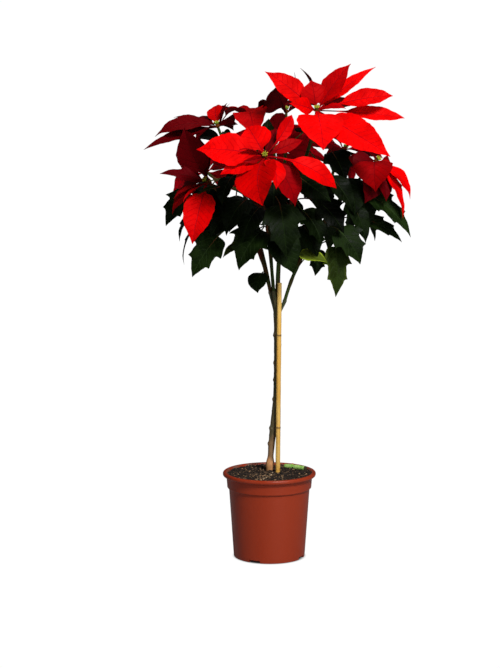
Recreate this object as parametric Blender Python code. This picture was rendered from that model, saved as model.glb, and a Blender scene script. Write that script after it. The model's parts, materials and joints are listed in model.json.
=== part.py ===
"""A poinsettia grown as a small standard tree, with its plastic nursery pot, compost and cane.

Sizes and places are in millimetres and are turned to metres when a mesh is made. The origin is
the middle of the pot's underside, +Z is up and the plant's front faces -Y.
"""

import math
from collections import namedtuple

import bmesh
import bpy
from mathutils import Matrix, Vector
from mathutils.bvhtree import BVHTree

METRES = 0.001
GAP = 0.35  # kept between pieces that rest on each other
UP = Vector((0, 0, 1))

# pot, turned about the Z axis
POT_HEIGHT = 157
RIM_RADIUS = 85
RIM_DEPTH = 7
COLLAR_RADIUS = 78.5
COLLAR_DEPTH = 21
BODY_RADIUS = 74
FOOT_RADIUS = 65
WALL = 1.8
FLOOR = 3
POT_SIDES = 24
NOTCH_WIDTH = 22
NOTCH_HEIGHT = 5
NOTCH_DEPTH = 9
FIRST_NOTCH = -24.5  # degrees round from the front

# compost
SOIL_LEVEL = 153.5
SOIL_MOUND = 3.5
MOUND_REACH = 38
BROAD_LUMP = 1.5
SMALL_LUMP = 0.9
SOIL_RINGS = (62, 45, 27)

# trunk and cane
TRUNK_FOOT = 96
TRUNK_TOP = 456
TRUNK_PATH = (
    (0, 9, TRUNK_FOOT),
    (1, 9, 160),
    (4, 8, 205),
    (9, 7, 255),
    (13, 6.5, 300),
    (14, 6.5, 365),
    (14, 6.5, TRUNK_TOP),
)
TRUNK_RADII = (  # height, radius
    (TRUNK_FOOT, 5),
    (158, 6.3),
    (166, 8.2),
    (173, 7.6),
    (181, 5.4),
    (192, 5.4),
    (212, 6.2),
    (300, 6),
    (425, 6),
    (450, 7.4),
    (TRUNK_TOP, 5),
)
TRUNK_SIDES = 7
SCARS = ((408, -1), (390, 1), (357, -1), (326, -1), (290, -1), (236, -1), (207, -1))  # height, side
SCAR_RISE = 1.5
SCAR_REACH = 4
CANE_FOOT = (14.6, -6.4, 26)
CANE_TOP = (17.8, -6.4, 505)
CANE_RADIUS = 4.3
CANE_NODES = (150, 240, 410)
CANE_NODE_RISE = 0.35
TRUNK_HOLE = 7.2
CANE_HOLE = 5
STUB_RADIUS = 3.3
STUB_ROOT = (14, 7, 440)
STUB_SPREAD = 0.12  # share of a stub's reach by which its root is set off the trunk's middle
STUB_BEND = 15
STUB_UPTURN = 0.5

# cut stem piece and feed pellet on the compost
CUTTING_ENDS = ((30, 49), (67, 22))
CUTTING_RADIUS = 4.8
PELLET_PLACE = (43, 57)
PELLET_RADIUS = 3.2

# shoots, each ending in a bloom
SHOOT_TIP = 2.4  # radius
SHOOT_STEPS = 6
SHOOT_SIDES = 5
FREE_TIP = 8  # length of a shoot under its bloom that its own bracts may come near

# middle of a bloom: places along its axis from its centre, with radii
RECEPTACLE = 5.5
BRACT_DEPTH = 3.3
HEAD_FORM = ((-RECEPTACLE, 3.2), (-BRACT_DEPTH, 5.2), (1, 3))
CLUSTER_FOOT = 1 + GAP
CLUSTER_FORM = ((0, 2.6), (3, 3), (5, 1.6))
BUD_FORM = ((0, 1.1), (3.2, 2), (5.5, 1))
BUDS = 3
BUD_OFFSET = 2.2
BUD_LEAN = 0.25
BRACT_OFFSET = 2.5

# blades
BLADE = 0.8  # thickness of a leaf or bract
NECK_THICK = 1.8
NECK_HALF = 1.3  # least half width near the root
TIP_HALF = 0.6
FOLD = 0.16  # rise of the margins above the midrib, as a share of the half width
NECK_SECTIONS = 2
PETIOLE = 2.4
PETIOLE_STEPS = 2
PETIOLE_RISE = 0.25
PETIOLE_RUN = 0.4
HEAD_MIDDLE = (15, 10)
LEAF_UPTURN = 0.8

# how a blade is bent clear of its neighbours
CLEARANCE = 1.7  # thickness given to a blade meanwhile
STEM_ROOM = 0.8
CYATHIA_ROOM = (4.4, 9)  # radius and height
BEND_LIMIT = 42  # degrees
BEND_STEP = 6
SHRINKS = (1, 0.92, 0.84, 0.74)
SHRINK_COST = 70

# whorl of a bloom at the back
GOLDEN_ANGLE = 137.5
WHORL_TAPER = 0.045
WHORL_RISE = 5
WHORL_ARCH = 14

# Outline of a blade: how far along the midrib, share of the half width, and how far the margin
# runs ahead as a share of the length.
BRACT = ((0, 0.05, 0), (0.17, 0.26, 0), (0.45, 1, 0.02), (0.77, 0.6, 0.01), (1, 0.02, 0))
SMALL_BRACT = ((0, 0.1, 0), (0.52, 1, 0.01), (1, 0.04, 0))
LOBED_BRACT = ((0, 0.05, 0), (0.17, 0.3, 0), (0.46, 1, 0.06), (0.55, 0.62, 0.02), (1, 0.02, 0))
BROAD_BRACT = ((0, 0.05, 0), (0.19, 0.16, 0), (0.37, 0.94, -0.02), (0.67, 0.82, 0.01), (1, 0.02, 0))
OAR_BRACT = ((0, 0.05, 0), (0.32, 0.12, 0), (0.5, 0.86, 0), (0.74, 0.92, 0.01), (1, 0.02, 0))
PLAIN_LEAF = (
    (0, 0.08, 0),
    (0.08, 0.55, -0.03),
    (0.28, 1, 0),
    (0.5, 0.88, 0.01),
    (0.74, 0.48, 0.01),
    (1, 0.02, 0),
)
LOBED_LEAF = (
    (0, 0.08, 0),
    (0.07, 0.55, -0.04),
    (0.28, 1, 0.07),
    (0.36, 0.64, 0.02),
    (0.56, 0.7, 0.08),
    (1, 0.02, 0),
)
OUTLINES = {
    "bract": BRACT,
    "small": SMALL_BRACT,
    "lobed": LOBED_BRACT,
    "broad": BROAD_BRACT,
    "oar": OAR_BRACT,
    "plain": PLAIN_LEAF,
    "leaf": LOBED_LEAF,
}
Blade = namedtuple("Blade", "root tip facing width arch roll outline start")

# Blooms: centre, the way the bloom faces, and its bracts. A bract is its tip from the centre
# (right, back, up), its width, how far it bows up, its roll in degrees and its outline.
BLOOMS = {
    "front": {
        "centre": (-8, -130, 741),
        "axis": (-0.1, -0.86, 0.5),
        "bracts": (
            ((-119, 4, 10), 62, 9, 0, "bract"),
            ((-5, -52, -84), 84, 18, 30, "broad"),
            ((54, 0, -90), 52, 20, -20, "bract"),
            ((124, -2, -57), 42, 22, -12, "oar"),
            ((-84, -24, -34), 40, 2, 0, "broad"),
            ((-32, 30, 49), 54, 6, 0, "broad"),
            ((48, 30, 69), 26, 10, 40, "oar"),
            ((74, 22, 28), 26, 6, 10, "bract"),
            ((21, 44, 45), 28, 4, 0, "bract"),
            ((13, -38, -58), 42, 12, -40, "broad"),
            ((-42, -20, 13), 13, 4, 55, "small"),
            ((-38, -22, -10), 13, 4, -50, "small"),
        ),
    },
    "right_top": {
        "centre": (82, -50, 818),
        "axis": (0.05, -0.5, 0.87),
        "bracts": (
            ((-91, 6, 66), 42, 8, -30, "bract"),
            ((59, 8, 80), 46, 4, 0, "bract"),
            ((134, -4, 24), 38, 8, 22, "oar"),
            ((10, -84, -68), 80, 12, 0, "broad"),
            ((125, -84, -78), 58, 2, 25, "broad"),
            ((104, 16, 75), 26, 4, 10, "bract"),
            ((156, 10, -16), 30, 4, 25, "oar"),
            ((-27, 34, 72), 20, 8, 80, "bract"),
            ((-12, 22, 47), 50, 4, 0, "broad"),
            ((-47, -40, 11), 32, 4, -45, "bract"),
            ((51, -22, 2), 22, 5, 0, "small"),
            ((77, 48, 7), 36, 8, 0, "bract"),
        ),
    },
    "left_top": {
        "centre": (-94, 0, 788),
        "axis": (-0.35, 0.1, 0.93),
        "bracts": (
            ((-131, -22, -42), 38, 8, -50, "lobed"),
            ((-113, 0, -20), 46, 16, -40, "bract"),
            ((-76, 14, 24), 26, 4, -20, "bract"),
            ((3, 6, 41), 16, 2, 40, "small"),
            ((-4, 60, 34), 32, 8, 0, "bract"),
            ((21, 20, 38), 9, 3, 0, "small"),
            ((42, 8, 33), 10, 6, 0, "small"),
            ((38, -16, 2), 20, 4, -40, "small"),
            ((-36, -34, -30), 34, 8, 0, "bract"),
            ((-66, 66, -8), 42, 14, 0, "bract"),
            ((28, 78, -12), 44, 14, 0, "bract"),
        ),
    },
    "left_low": {
        "centre": (-112, -52, 692),
        "axis": (-0.66, -0.45, 0.6),
        "bracts": (
            ((-24, -46, -108), 58, 8, -38, "broad"),
            ((-81, -6, 20), 34, 8, 0, "lobed"),
            ((-40, 10, 92), 68, 8, 0, "broad"),
            ((-56, -10, -64), 42, 12, 0, "bract"),
            ((-16, 12, 80), 56, 4, 0, "bract"),
            ((-58, -28, -28), 17, 5, 0, "bract"),
            ((-41, -40, -34), 15, 5, 0, "small"),
            ((-44, 62, -16), 40, 12, 0, "bract"),
        ),
    },
    "top_back": {
        "centre": (30, 84, 812),
        "axis": (0, 0.12, 0.99),
        "bracts": (
            ((-20, -88, 46), 70, 2, 45, "broad"),
            ((24, 14, 66), 40, 4, 0, "broad"),
            ((4, 96, 4), 46, 16, 0, "bract"),
            ((72, 58, 16), 42, 14, 0, "bract"),
            ((-54, 70, 2), 42, 14, 0, "bract"),
            ((62, 6, 6), 34, 8, 0, "bract"),
        ),
    },
    "left_back": {
        "centre": (-34, 92, 800),
        "axis": (-0.15, 0.05, 0.98),
        "bracts": (
            ((12, -122, -46), 72, 38, 5, "broad"),
            ((-82, 14, 6), 42, 14, 0, "bract"),
            ((-50, 76, -2), 44, 16, 0, "bract"),
            ((18, 88, 4), 42, 16, 0, "bract"),
            ((-56, -34, 10), 34, 10, 0, "bract"),
        ),
    },
    "right_low": {
        "centre": (192, 0, 726),
        "axis": (0.6, -0.35, 0.7),
        "bracts": (
            ((62, 0, -70), 36, 14, 10, "bract"),
            ((-4, -40, -56), 68, 28, 50, "bract"),
            ((57, -22, -98), 32, 14, 10, "lobed"),
            ((16, -28, -72), 36, 6, 20, "broad"),
            ((29, -14, -10), 18, 4, 30, "small"),
            ((-48, -20, -12), 44, 8, 0, "bract"),
            ((-22, -30, -76), 48, 6, 0, "broad"),
            ((34, 62, -42), 42, 14, 0, "bract"),
            ((-26, 66, 4), 40, 8, 0, "bract"),
        ),
    },
    "back_left": {
        "centre": (-118, 104, 700),
        "axis": (-0.5, 0.7, 0.5),
        "whorl": {"count": 6, "length": 98, "width": 44, "droop": 24, "turn": 20},
    },
    "back_middle": {
        "centre": (8, 158, 742),
        "axis": (0, 0.87, 0.5),
        "whorl": {"count": 7, "length": 108, "width": 48, "droop": 20, "turn": 5},
    },
    "back_right": {
        "centre": (138, 108, 742),
        "axis": (0.5, 0.62, 0.6),
        "whorl": {"count": 7, "length": 102, "width": 46, "droop": 22, "turn": 50},
    },
}

# Branches: where each leaves the trunk, the blooms it carries, and its leaves. A leaf is the place
# on its shoot (shoot number and share of its length), the foot and the tip of its blade, its
# width, how far it bows, its roll in degrees and its outline.
BRANCHES = {
    "front": {
        "stub": (7, -7, 491),
        "blooms": ("front",),
        "leaves": (
            (0, 0.62, (18, -92, 652), (30, -104, 560), 74, 12, 0, "leaf"),
            (0, 0.84, (-8, -92, 748), (-2, -66, 802), 36, 4, 0, "plain"),
            (0, 0.72, (52, -92, 700), (108, -96, 658), 42, 6, 30, "plain"),
            (0, 0.5, (-40, -78, 662), (-78, -92, 598), 66, 10, 0, "leaf"),
            (0, 0.3, (14, -66, 600), (42, -72, 529), 60, 10, 0, "plain"),
            (0, 0.42, (-18, -66, 646), (-46, -80, 590), 62, 10, 0, "plain"),
            (0, 0.66, (8, -66, 690), (8, -76, 634), 60, 8, 0, "plain"),
        ),
    },
    "left_low": {
        "stub": (1, 0, 489),
        "blooms": ("left_low",),
        "leaves": (
            (0, 0.4, (-14, -62, 606), (-56, -74, 535), 80, 10, 0, "leaf"),
            (0, 0.06, (-14, -16, 524), (-22, -24, 488), 52, 5, 0, "plain"),
            (0, 0.66, (-66, -74, 700), (-84, -90, 651), 44, 6, 0, "plain"),
            (0, 0.24, (-50, -40, 578), (-84, -40, 554), 26, 4, 0, "plain"),
            (0, 0.9, (-92, -80, 682), (-130, -98, 668), 15, 3, 50, "plain"),
            (0, 0.55, (-92, -36, 592), (-139, -40, 519), 66, 8, -45, "leaf"),
            (0, 0.5, (-72, -46, 640), (-104, -62, 592), 60, 8, -45, "leaf"),
            (0, 0.58, (-62, -36, 660), (-72, -48, 600), 62, 8, -45, "plain"),
        ),
    },
    "left_top": {
        "stub": (1, 11, 490),
        "blooms": ("left_top",),
        "leaves": (
            (0, 0.62, (-148, 12, 676), (-194, -6, 622), 56, 8, -60, "leaf"),
            (0, 0.42, (-138, 14, 602), (-156, 4, 537), 30, 6, 0, "leaf"),
            (0, 0.82, (-122, 24, 750), (-158, 10, 734), 50, 5, -30, "plain"),
            (0, 0.9, (-82, -22, 776), (-66, -36, 768), 16, 2, 0, "plain"),
            (0, 0.3, (-70, 30, 604), (-112, 34, 548), 58, 8, 0, "leaf"),
            (0, 0.72, (-60, -24, 722), (-44, -62, 682), 50, 8, 0, "plain"),
            (0, 0.5, (-104, -4, 640), (-132, -20, 586), 58, 8, -60, "leaf"),
            (0, 0.64, (-98, -14, 674), (-102, -34, 616), 62, 8, -60, "plain"),
        ),
    },
    "left_back": {
        "stub": (7, 20, 492),
        "blooms": ("left_back", "back_left"),
        "leaves": (
            (1, 0.55, (-118, 62, 640), (-168, 62, 574), 56, 10, 0, "leaf"),
            (1, 0.72, (-96, 118, 636), (-118, 146, 564), 60, 10, 0, "leaf"),
            (0, 0.3, (-34, 84, 600), (-52, 122, 538), 62, 10, 0, "leaf"),
            (0, 0.72, (-64, 120, 742), (-58, 168, 700), 56, 10, 0, "leaf"),
            (0, 0.88, (-92, 84, 752), (-140, 84, 748), 44, 8, 0, "plain"),
        ),
    },
    "right_top": {
        "stub": (14, 9, 500),
        "blooms": ("right_top",),
        "leaves": (
            (0, 0.5, (58, -58, 640), (92, -72, 576), 62, 10, 0, "leaf"),
            (0, 0.72, (106, -74, 700), (146, -78, 640), 40, 8, 20, "plain"),
            (0, 0.12, (54, -38, 560), (104, -44, 546), 34, 5, 0, "plain"),
            (0, 0.62, (40, -40, 720), (62, -84, 690), 50, 8, 0, "plain"),
            (0, 0.86, (106, -20, 786), (158, 0, 772), 44, 8, 20, "leaf"),
            (0, 0.4, (92, -40, 650), (132, -58, 600), 60, 8, 40, "leaf"),
            (0, 0.3, (60, -34, 612), (86, -46, 556), 60, 8, 35, "leaf"),
            (0, 0.78, (110, -36, 742), (134, -54, 690), 58, 8, 45, "leaf"),
            (0, 0.56, (80, -26, 690), (92, -44, 630), 62, 8, 20, "plain"),
            (0, 0.66, (138, -12, 694), (152, -30, 628), 64, 8, 45, "plain"),
        ),
    },
    "top_back": {
        "stub": (16, 21, 494),
        "blooms": ("top_back", "back_middle"),
        "leaves": (
            (0, 0.2, (40, 66, 592), (54, 104, 528), 60, 10, 0, "leaf"),
            (1, 0.5, (-14, 130, 640), (-24, 176, 586), 60, 10, 0, "leaf"),
            (1, 0.7, (58, 142, 680), (92, 176, 622), 60, 10, 0, "leaf"),
            (0, 0.75, (66, 110, 760), (92, 150, 744), 50, 8, 0, "plain"),
            (0, 0.5, (0, 60, 690), (-26, 30, 640), 50, 8, 0, "plain"),
            (0, 0.35, (30, 44, 650), (40, 20, 590), 56, 8, 0, "plain"),
        ),
    },
    "right_low": {
        "stub": (28, 5, 473),
        "blooms": ("right_low", "back_right"),
        "leaves": (
            (0, 0.66, (172, 4, 668), (256, -4, 588), 54, 12, 45, "leaf"),
            (0, 0.4, (172, 24, 618), (240, 18, 577), 40, 8, 50, "leaf"),
            (0, 0.5, (160, -24, 650), (187, -30, 571), 42, 6, 50, "plain"),
            (0, 0.3, (122, -34, 604), (163, -42, 542), 62, 10, 45, "leaf"),
            (0, 0.1, (124, -24, 578), (126, -36, 480), 58, 8, 50, "leaf"),
            (0, 0.2, (84, -4, 566), (82, -14, 518), 40, 6, 50, "leaf"),
            (1, 0.6, (150, 84, 640), (196, 96, 572), 58, 10, 0, "leaf"),
            (1, 0.4, (96, 92, 610), (110, 136, 548), 58, 10, 0, "leaf"),
            (0, 0.8, (160, -30, 680), (170, -50, 622), 56, 8, 40, "leaf"),
            (0, 0.56, (158, 6, 662), (172, -6, 598), 58, 8, 60, "plain"),
        ),
    },
}

MATERIALS = {  # colour, roughness
    "pot_plastic": ((0.26, 0.035, 0.015), 0.35),
    "compost": ((0.018, 0.011, 0.007), 0.95),
    "bark": ((0.055, 0.05, 0.025), 0.8),
    "cane": ((0.5, 0.26, 0.06), 0.55),
    "green_leaf": ((0.012, 0.05, 0.012), 0.5),
    "red_bract": ((0.7, 0.004, 0.004), 0.5),
    "cyathium": ((0.2, 0.3, 0.02), 0.5),
    "cut_stem": ((0.3, 0.42, 0.16), 0.5),
    "feed_pellet": ((0.6, 0.2, 0.02), 0.4),
}


def material(name):
    if name in bpy.data.materials:
        return bpy.data.materials[name]
    colour, roughness = MATERIALS[name]
    made = bpy.data.materials.new(name)
    made.use_nodes = True
    shader = made.node_tree.nodes["Principled BSDF"]
    shader.inputs["Base Color"].default_value = (*colour, 1)
    shader.inputs["Roughness"].default_value = roughness
    made.diffuse_color = (*colour, 1)
    return made


def solid(name, points, faces, finish):
    """One object from points in millimetres and faces that point out."""
    mesh = bpy.data.meshes.new(name)
    mesh.from_pydata([Vector(point) * METRES for point in points], [], faces)
    mesh.materials.append(material(finish))
    thing = bpy.data.objects.new(name, mesh)
    bpy.context.scene.collection.objects.link(thing)
    return thing


def remove(thing):
    mesh = thing.data
    bpy.data.objects.remove(thing)
    bpy.data.meshes.remove(mesh)


def shade(thing, angle=40):
    thing.data.shade_smooth()
    thing.data.set_sharp_from_angle(angle=math.radians(angle))


def largest_shell(mesh):
    """Keeps the body with the most faces, which fills sealed hollows and drops loose scraps."""
    form = bmesh.new()
    form.from_mesh(mesh)
    bmesh.ops.dissolve_degenerate(form, dist=1e-6, edges=form.edges)
    bmesh.ops.triangulate(form, faces=form.faces)
    left = set(form.faces)
    shells = []
    while left:
        shell = set()
        edge = [left.pop()]
        while edge:
            face = edge.pop()
            shell.add(face)
            for side in face.edges:
                for other in side.link_faces:
                    if other in left:
                        left.remove(other)
                        edge.append(other)
        shells.append(shell)
    best = max(shells, key=len)
    bmesh.ops.delete(form, geom=[face for face in form.faces if face not in best], context="FACES")
    form.to_mesh(mesh)
    form.free()


def apply_boolean(thing, operation, operands, solver):
    """The object's mesh after it is joined to, or cut by, all the operands."""
    group = bpy.data.collections.new(thing.name + "_operands")
    bpy.context.scene.collection.children.link(group)
    for operand in operands:
        group.objects.link(operand)
    join = thing.modifiers.new("join", "BOOLEAN")
    join.operation = operation
    join.operand_type = "COLLECTION"
    join.collection = group
    join.solver = solver
    bpy.context.view_layer.update()
    result = bpy.data.meshes.new_from_object(thing.evaluated_get(bpy.context.evaluated_depsgraph_get()))
    thing.modifiers.remove(join)
    bpy.data.collections.remove(group)
    return result


def is_closed(mesh):
    form = bmesh.new()
    form.from_mesh(mesh)
    closed = len(form.faces) > 0 and all(len(side.link_faces) == 2 for side in form.edges)
    form.free()
    return closed


def combine(thing, operation, operands):
    for solver in ("EXACT", "MANIFOLD"):
        result = apply_boolean(thing, operation, operands, solver)
        largest_shell(result)
        if is_closed(result):
            break
    old = thing.data
    thing.data = result
    bpy.data.meshes.remove(old)
    for operand in operands:
        remove(operand)
    return thing


def lathe(name, profile, sides, finish):
    """A closed solid turned about Z from (radius, height) points; the ends lie on the axis."""
    points = []
    rings = []
    for radius, height in profile:
        if radius == 0:
            rings.append([len(points)] * sides)
            points.append((0, 0, height))
            continue
        rings.append(list(range(len(points), len(points) + sides)))
        for side in range(sides):
            angle = math.tau * side / sides
            points.append((radius * math.cos(angle), radius * math.sin(angle), height))
    faces = []
    for low, high in zip(rings, rings[1:]):
        for side in range(sides):
            after = (side + 1) % sides
            corners = [low[side], low[after], high[after], high[side]]
            faces.append(list(dict.fromkeys(corners)))
    return solid(name, points, faces, finish)


def smooth_path(points, steps):
    """Points along a curve through the given ones, steps to each span."""
    points = [Vector(point) for point in points]
    ends = [points[0] * 2 - points[1]] + points + [points[-1] * 2 - points[-2]]
    path = []
    for before, start, end, after in zip(ends, ends[1:], ends[2:], ends[3:]):
        for step in range(steps):
            t = step / steps
            path.append(
                0.5
                * (
                    2 * start
                    + (end - before) * t
                    + (2 * before - 5 * start + 4 * end - after) * t * t
                    + (3 * start - before - 3 * end + after) * t**3
                )
            )
    return path + [points[-1]]


def tube(path, radii, sides, rise=None, first=None, last=None):
    """Points and faces of a closed tube; rise(point, direction) adds to the radius.

    first and last are the ways that its end faces look along.
    """
    points = []
    across = Vector((1, 0, 0))
    for number, centre in enumerate(path):
        ahead = path[min(number + 1, len(path) - 1)] - path[max(number - 1, 0)]
        if first and number == 0:
            ahead = first
        if last and number == len(path) - 1:
            ahead = last
        ahead = ahead.normalized()
        across = (across - ahead * across.dot(ahead)).normalized()
        other = ahead.cross(across)
        for side in range(sides):
            angle = math.tau * side / sides
            out = across * math.cos(angle) + other * math.sin(angle)
            radius = radii[number] + (rise(centre, out) if rise else 0)
            points.append(centre + out * radius)
    faces = []
    for ring in range(len(path) - 1):
        for side in range(sides):
            after = (side + 1) % sides
            low, high = ring * sides, (ring + 1) * sides
            faces.append([low + side, low + after, high + after, high + side])
    faces.append(list(reversed(range(sides))))
    faces.append(list(range((len(path) - 1) * sides, len(path) * sides)))
    return points, faces


def graded(table, value):
    """Reads a (position, size) table at a position."""
    for (low, first), (high, second) in zip(table, table[1:]):
        if value <= high:
            share = max(0, (value - low) / (high - low))
            return first + (second - first) * share
    return table[-1][1]


def pot():
    body_top = POT_HEIGHT - RIM_DEPTH - COLLAR_DEPTH
    rim_foot = POT_HEIGHT - RIM_DEPTH
    profile = (
        (0, 0),
        (FOOT_RADIUS - 1, 0),
        (FOOT_RADIUS, 1),
        (BODY_RADIUS, body_top - 2),
        (COLLAR_RADIUS - 1, body_top - 0.5),
        (COLLAR_RADIUS - 1.4, body_top + 2.5),
        (COLLAR_RADIUS, rim_foot),
        (RIM_RADIUS - 1, rim_foot + 0.4),
        (RIM_RADIUS, rim_foot + 1.8),
        (RIM_RADIUS, POT_HEIGHT - 1.6),
        (RIM_RADIUS - 1.6, POT_HEIGHT),
        (COLLAR_RADIUS + 0.4, POT_HEIGHT),
        (COLLAR_RADIUS - WALL, POT_HEIGHT - 2),
        (COLLAR_RADIUS - 1.6 - WALL, body_top + 2),
        (BODY_RADIUS - WALL, body_top - 2),
        (FOOT_RADIUS - WALL + 0.2, FLOOR),
        (0, FLOOR),
    )
    vessel = lathe("pot", profile, POT_SIDES, "pot_plastic")
    cutters = []
    for number in range(4):
        angle = math.radians(FIRST_NOTCH + 90 * number - 90)
        bpy.ops.mesh.primitive_cube_add(size=1)
        cutter = bpy.context.object
        size = Matrix.Diagonal((2 * NOTCH_DEPTH, NOTCH_WIDTH, 2 * NOTCH_HEIGHT, 1))
        place = Matrix.Rotation(angle, 4, "Z") @ Matrix.Translation((FOOT_RADIUS, 0, 0)) @ size
        cutter.data.transform(Matrix.Scale(METRES, 4) @ place)
        cutters.append(cutter)
    combine(vessel, "DIFFERENCE", cutters)
    shade(vessel)
    return vessel


def soil_height(x, y):
    """Height of the compost's surface: a low mound with broad and small lumps."""
    mound = SOIL_MOUND * math.exp(-((math.hypot(x, y) / MOUND_REACH) ** 2))
    broad = BROAD_LUMP * math.sin(0.17 * x + 1.1) * math.cos(0.21 * y - 0.4)
    small = SMALL_LUMP * math.sin(0.37 * x - 0.29 * y + 2)
    return SOIL_LEVEL + mound + broad + small


def soil():
    body_top = POT_HEIGHT - RIM_DEPTH - COLLAR_DEPTH
    inside = GAP + WALL + 0.2
    edge = COLLAR_RADIUS - 0.6 - inside
    profile = (
        (0, FLOOR + GAP),
        (FOOT_RADIUS - inside, FLOOR + GAP),
        (BODY_RADIUS - inside - 0.1, body_top - 2),
        (COLLAR_RADIUS - 1.8 - inside, body_top + 2.4),
        (edge, SOIL_LEVEL),
    ) + tuple((radius, SOIL_LEVEL) for radius in SOIL_RINGS) + ((0, SOIL_LEVEL),)
    ground = lathe("compost", profile, POT_SIDES, "compost")
    for vertex in ground.data.vertices:
        x, y, z = vertex.co / METRES
        if z > SOIL_LEVEL - 1:
            vertex.co.z = soil_height(x, y) * METRES
    cutters = []
    for foot, top, radius in ((TRUNK_PATH[0], TRUNK_PATH[1], TRUNK_HOLE), (CANE_FOOT, CANE_TOP, CANE_HOLE)):
        start = Vector(foot) - UP * GAP
        ahead = (Vector(top) - Vector(foot)).normalized()
        length = (SOIL_LEVEL + 20 - start.z) / ahead.z
        points, faces = tube([start, start + ahead * length], [radius, radius], 12)
        cutters.append(solid("hole", points, faces, "compost"))
    combine(ground, "DIFFERENCE", cutters)
    shade(ground, 60)
    return ground


def trunk_centre(height):
    path = smooth_path(TRUNK_PATH, 8)
    for low, high in zip(path, path[1:]):
        if height <= high.z:
            return low.lerp(high, (height - low.z) / (high.z - low.z))
    return path[-1]


def scar_rise(centre, out):
    """Leaf scars swell one side of the trunk; a scar is a height and the side it is on."""
    rise = 0
    for height, side in SCARS:
        near = math.exp(-(((centre.z - height) / SCAR_REACH) ** 2))
        rise += SCAR_RISE * near * max(0, out.x * side)
    return rise


def branch_start(branch):
    """Where a branch leaves its stub, and the way it points there."""
    end = Vector(branch["stub"])
    ahead = (end - Vector(STUB_ROOT)).normalized()
    return end, (ahead + UP * STUB_UPTURN).normalized()


def trunk():
    heights = {point[2] for point in TRUNK_PATH} | {height for height, radius in TRUNK_RADII}
    for scar, side in SCARS:
        heights |= {scar - SCAR_REACH, scar, scar + SCAR_REACH}
    heights = sorted(height for height in heights if height <= TRUNK_TOP)
    path = [trunk_centre(height) for height in heights]
    radii = [graded(TRUNK_RADII, height) for height in heights]
    points, faces = tube(path, radii, TRUNK_SIDES, scar_rise)
    stem = solid("trunk", points, faces, "bark")
    stubs = []
    for branch in BRANCHES.values():
        end, ahead = branch_start(branch)
        root = Vector(STUB_ROOT) + Vector((end.x - STUB_ROOT[0], end.y - STUB_ROOT[1], 0)) * STUB_SPREAD
        path = cubic(root, end, UP * STUB_BEND, ahead * STUB_BEND, 2)
        points, faces = tube(path, [STUB_RADIUS] * 3, 6, last=ahead)
        stubs.append(solid("stub", points, faces, "bark"))
    combine(stem, "UNION", stubs)
    shade(stem, 60)
    return stem


def cubic(start, end, leave, arrive, steps):
    """Points on a curve that leaves start along one vector and arrives at end along the other."""
    path = []
    for step in range(steps + 1):
        t = step / steps
        s = 1 - t
        point = s**3 * start + 3 * s * s * t * (start + leave)
        path.append(point + 3 * s * t * t * (end - arrive) + t**3 * end)
    return path


def cane():
    foot, top = Vector(CANE_FOOT), Vector(CANE_TOP)
    heights = [foot.z, top.z - 1, top.z]
    radii = {foot.z: CANE_RADIUS - 0.6, top.z - 1: CANE_RADIUS, top.z: CANE_RADIUS - 0.8}
    for node in CANE_NODES:
        for step, rise in ((-4, 0), (0, CANE_NODE_RISE), (3, 0)):
            heights.append(node + step)
            radii[node + step] = CANE_RADIUS + rise
    heights.sort()
    path = [foot.lerp(top, (height - foot.z) / (top.z - foot.z)) for height in heights]
    points, faces = tube(path, [radii[height] for height in heights], 8)
    stick = solid("cane", points, faces, "cane")
    shade(stick)
    return stick


def resting_line(heights):
    """The straight line that rests on a row of heights, touching it on both sides of its middle."""
    count = len(heights)
    for low in range(count // 2):
        for high in range(count // 2, count):
            slope = (heights[high] - heights[low]) / (high - low)
            start = heights[low] - slope * low
            if all(start + slope * number > height - 0.001 for number, height in enumerate(heights)):
                return start, start + slope * (count - 1)


def loose_pieces(ground):
    """The cut stem piece and the pellet lie on the compost's faces."""
    points = [vertex.co / METRES for vertex in ground.data.vertices]
    surface = BVHTree.FromPolygons(points, [face.vertices for face in ground.data.polygons])
    first, last = (Vector((*end, SOIL_LEVEL + 20)) for end in CUTTING_ENDS)
    row = [first.lerp(last, step / 40) for step in range(41)]
    low, high = resting_line([surface.ray_cast(point, -UP)[0].z for point in row])
    first.z = low + CUTTING_RADIUS + GAP
    last.z = high + CUTTING_RADIUS + GAP
    path = [first.lerp(last, share) for share in (0, 0.06, 0.94, 1)]
    radii = [CUTTING_RADIUS * share for share in (0.8, 1, 1, 0.8)]
    shade(solid("cut_stem_piece", *tube(path, radii, 8), "cut_stem"))
    spot, normal = surface.ray_cast(Vector((*PELLET_PLACE, SOIL_LEVEL + 20)), -UP)[:2]
    centre = spot + UP * (PELLET_RADIUS + GAP) / normal.z
    size = PELLET_RADIUS * METRES
    bpy.ops.mesh.primitive_ico_sphere_add(subdivisions=2, radius=size, location=centre * METRES)
    pellet = bpy.context.object
    pellet.name = "feed_pellet"
    pellet.data.materials.append(material("feed_pellet"))
    shade(pellet)


def petiole_sections(start, root, ahead, side):
    """The petiole's sections, each turned with its path from the blade's own frame."""
    reach = (root - start).length
    path = cubic(start, root, UP * reach * PETIOLE_RISE, ahead * reach * PETIOLE_RUN, PETIOLE_STEPS)
    sections = []
    for before, point, after in zip(path[-3::-1] + path[:1], path[-2::-1], path[::-1]):
        way = (after - before).normalized()
        side = ahead.rotation_difference(way) @ side
        ahead = way
        sections.append((point, side, side.cross(ahead), PETIOLE / 2, 0, PETIOLE))
    return sections[::-1]


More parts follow.
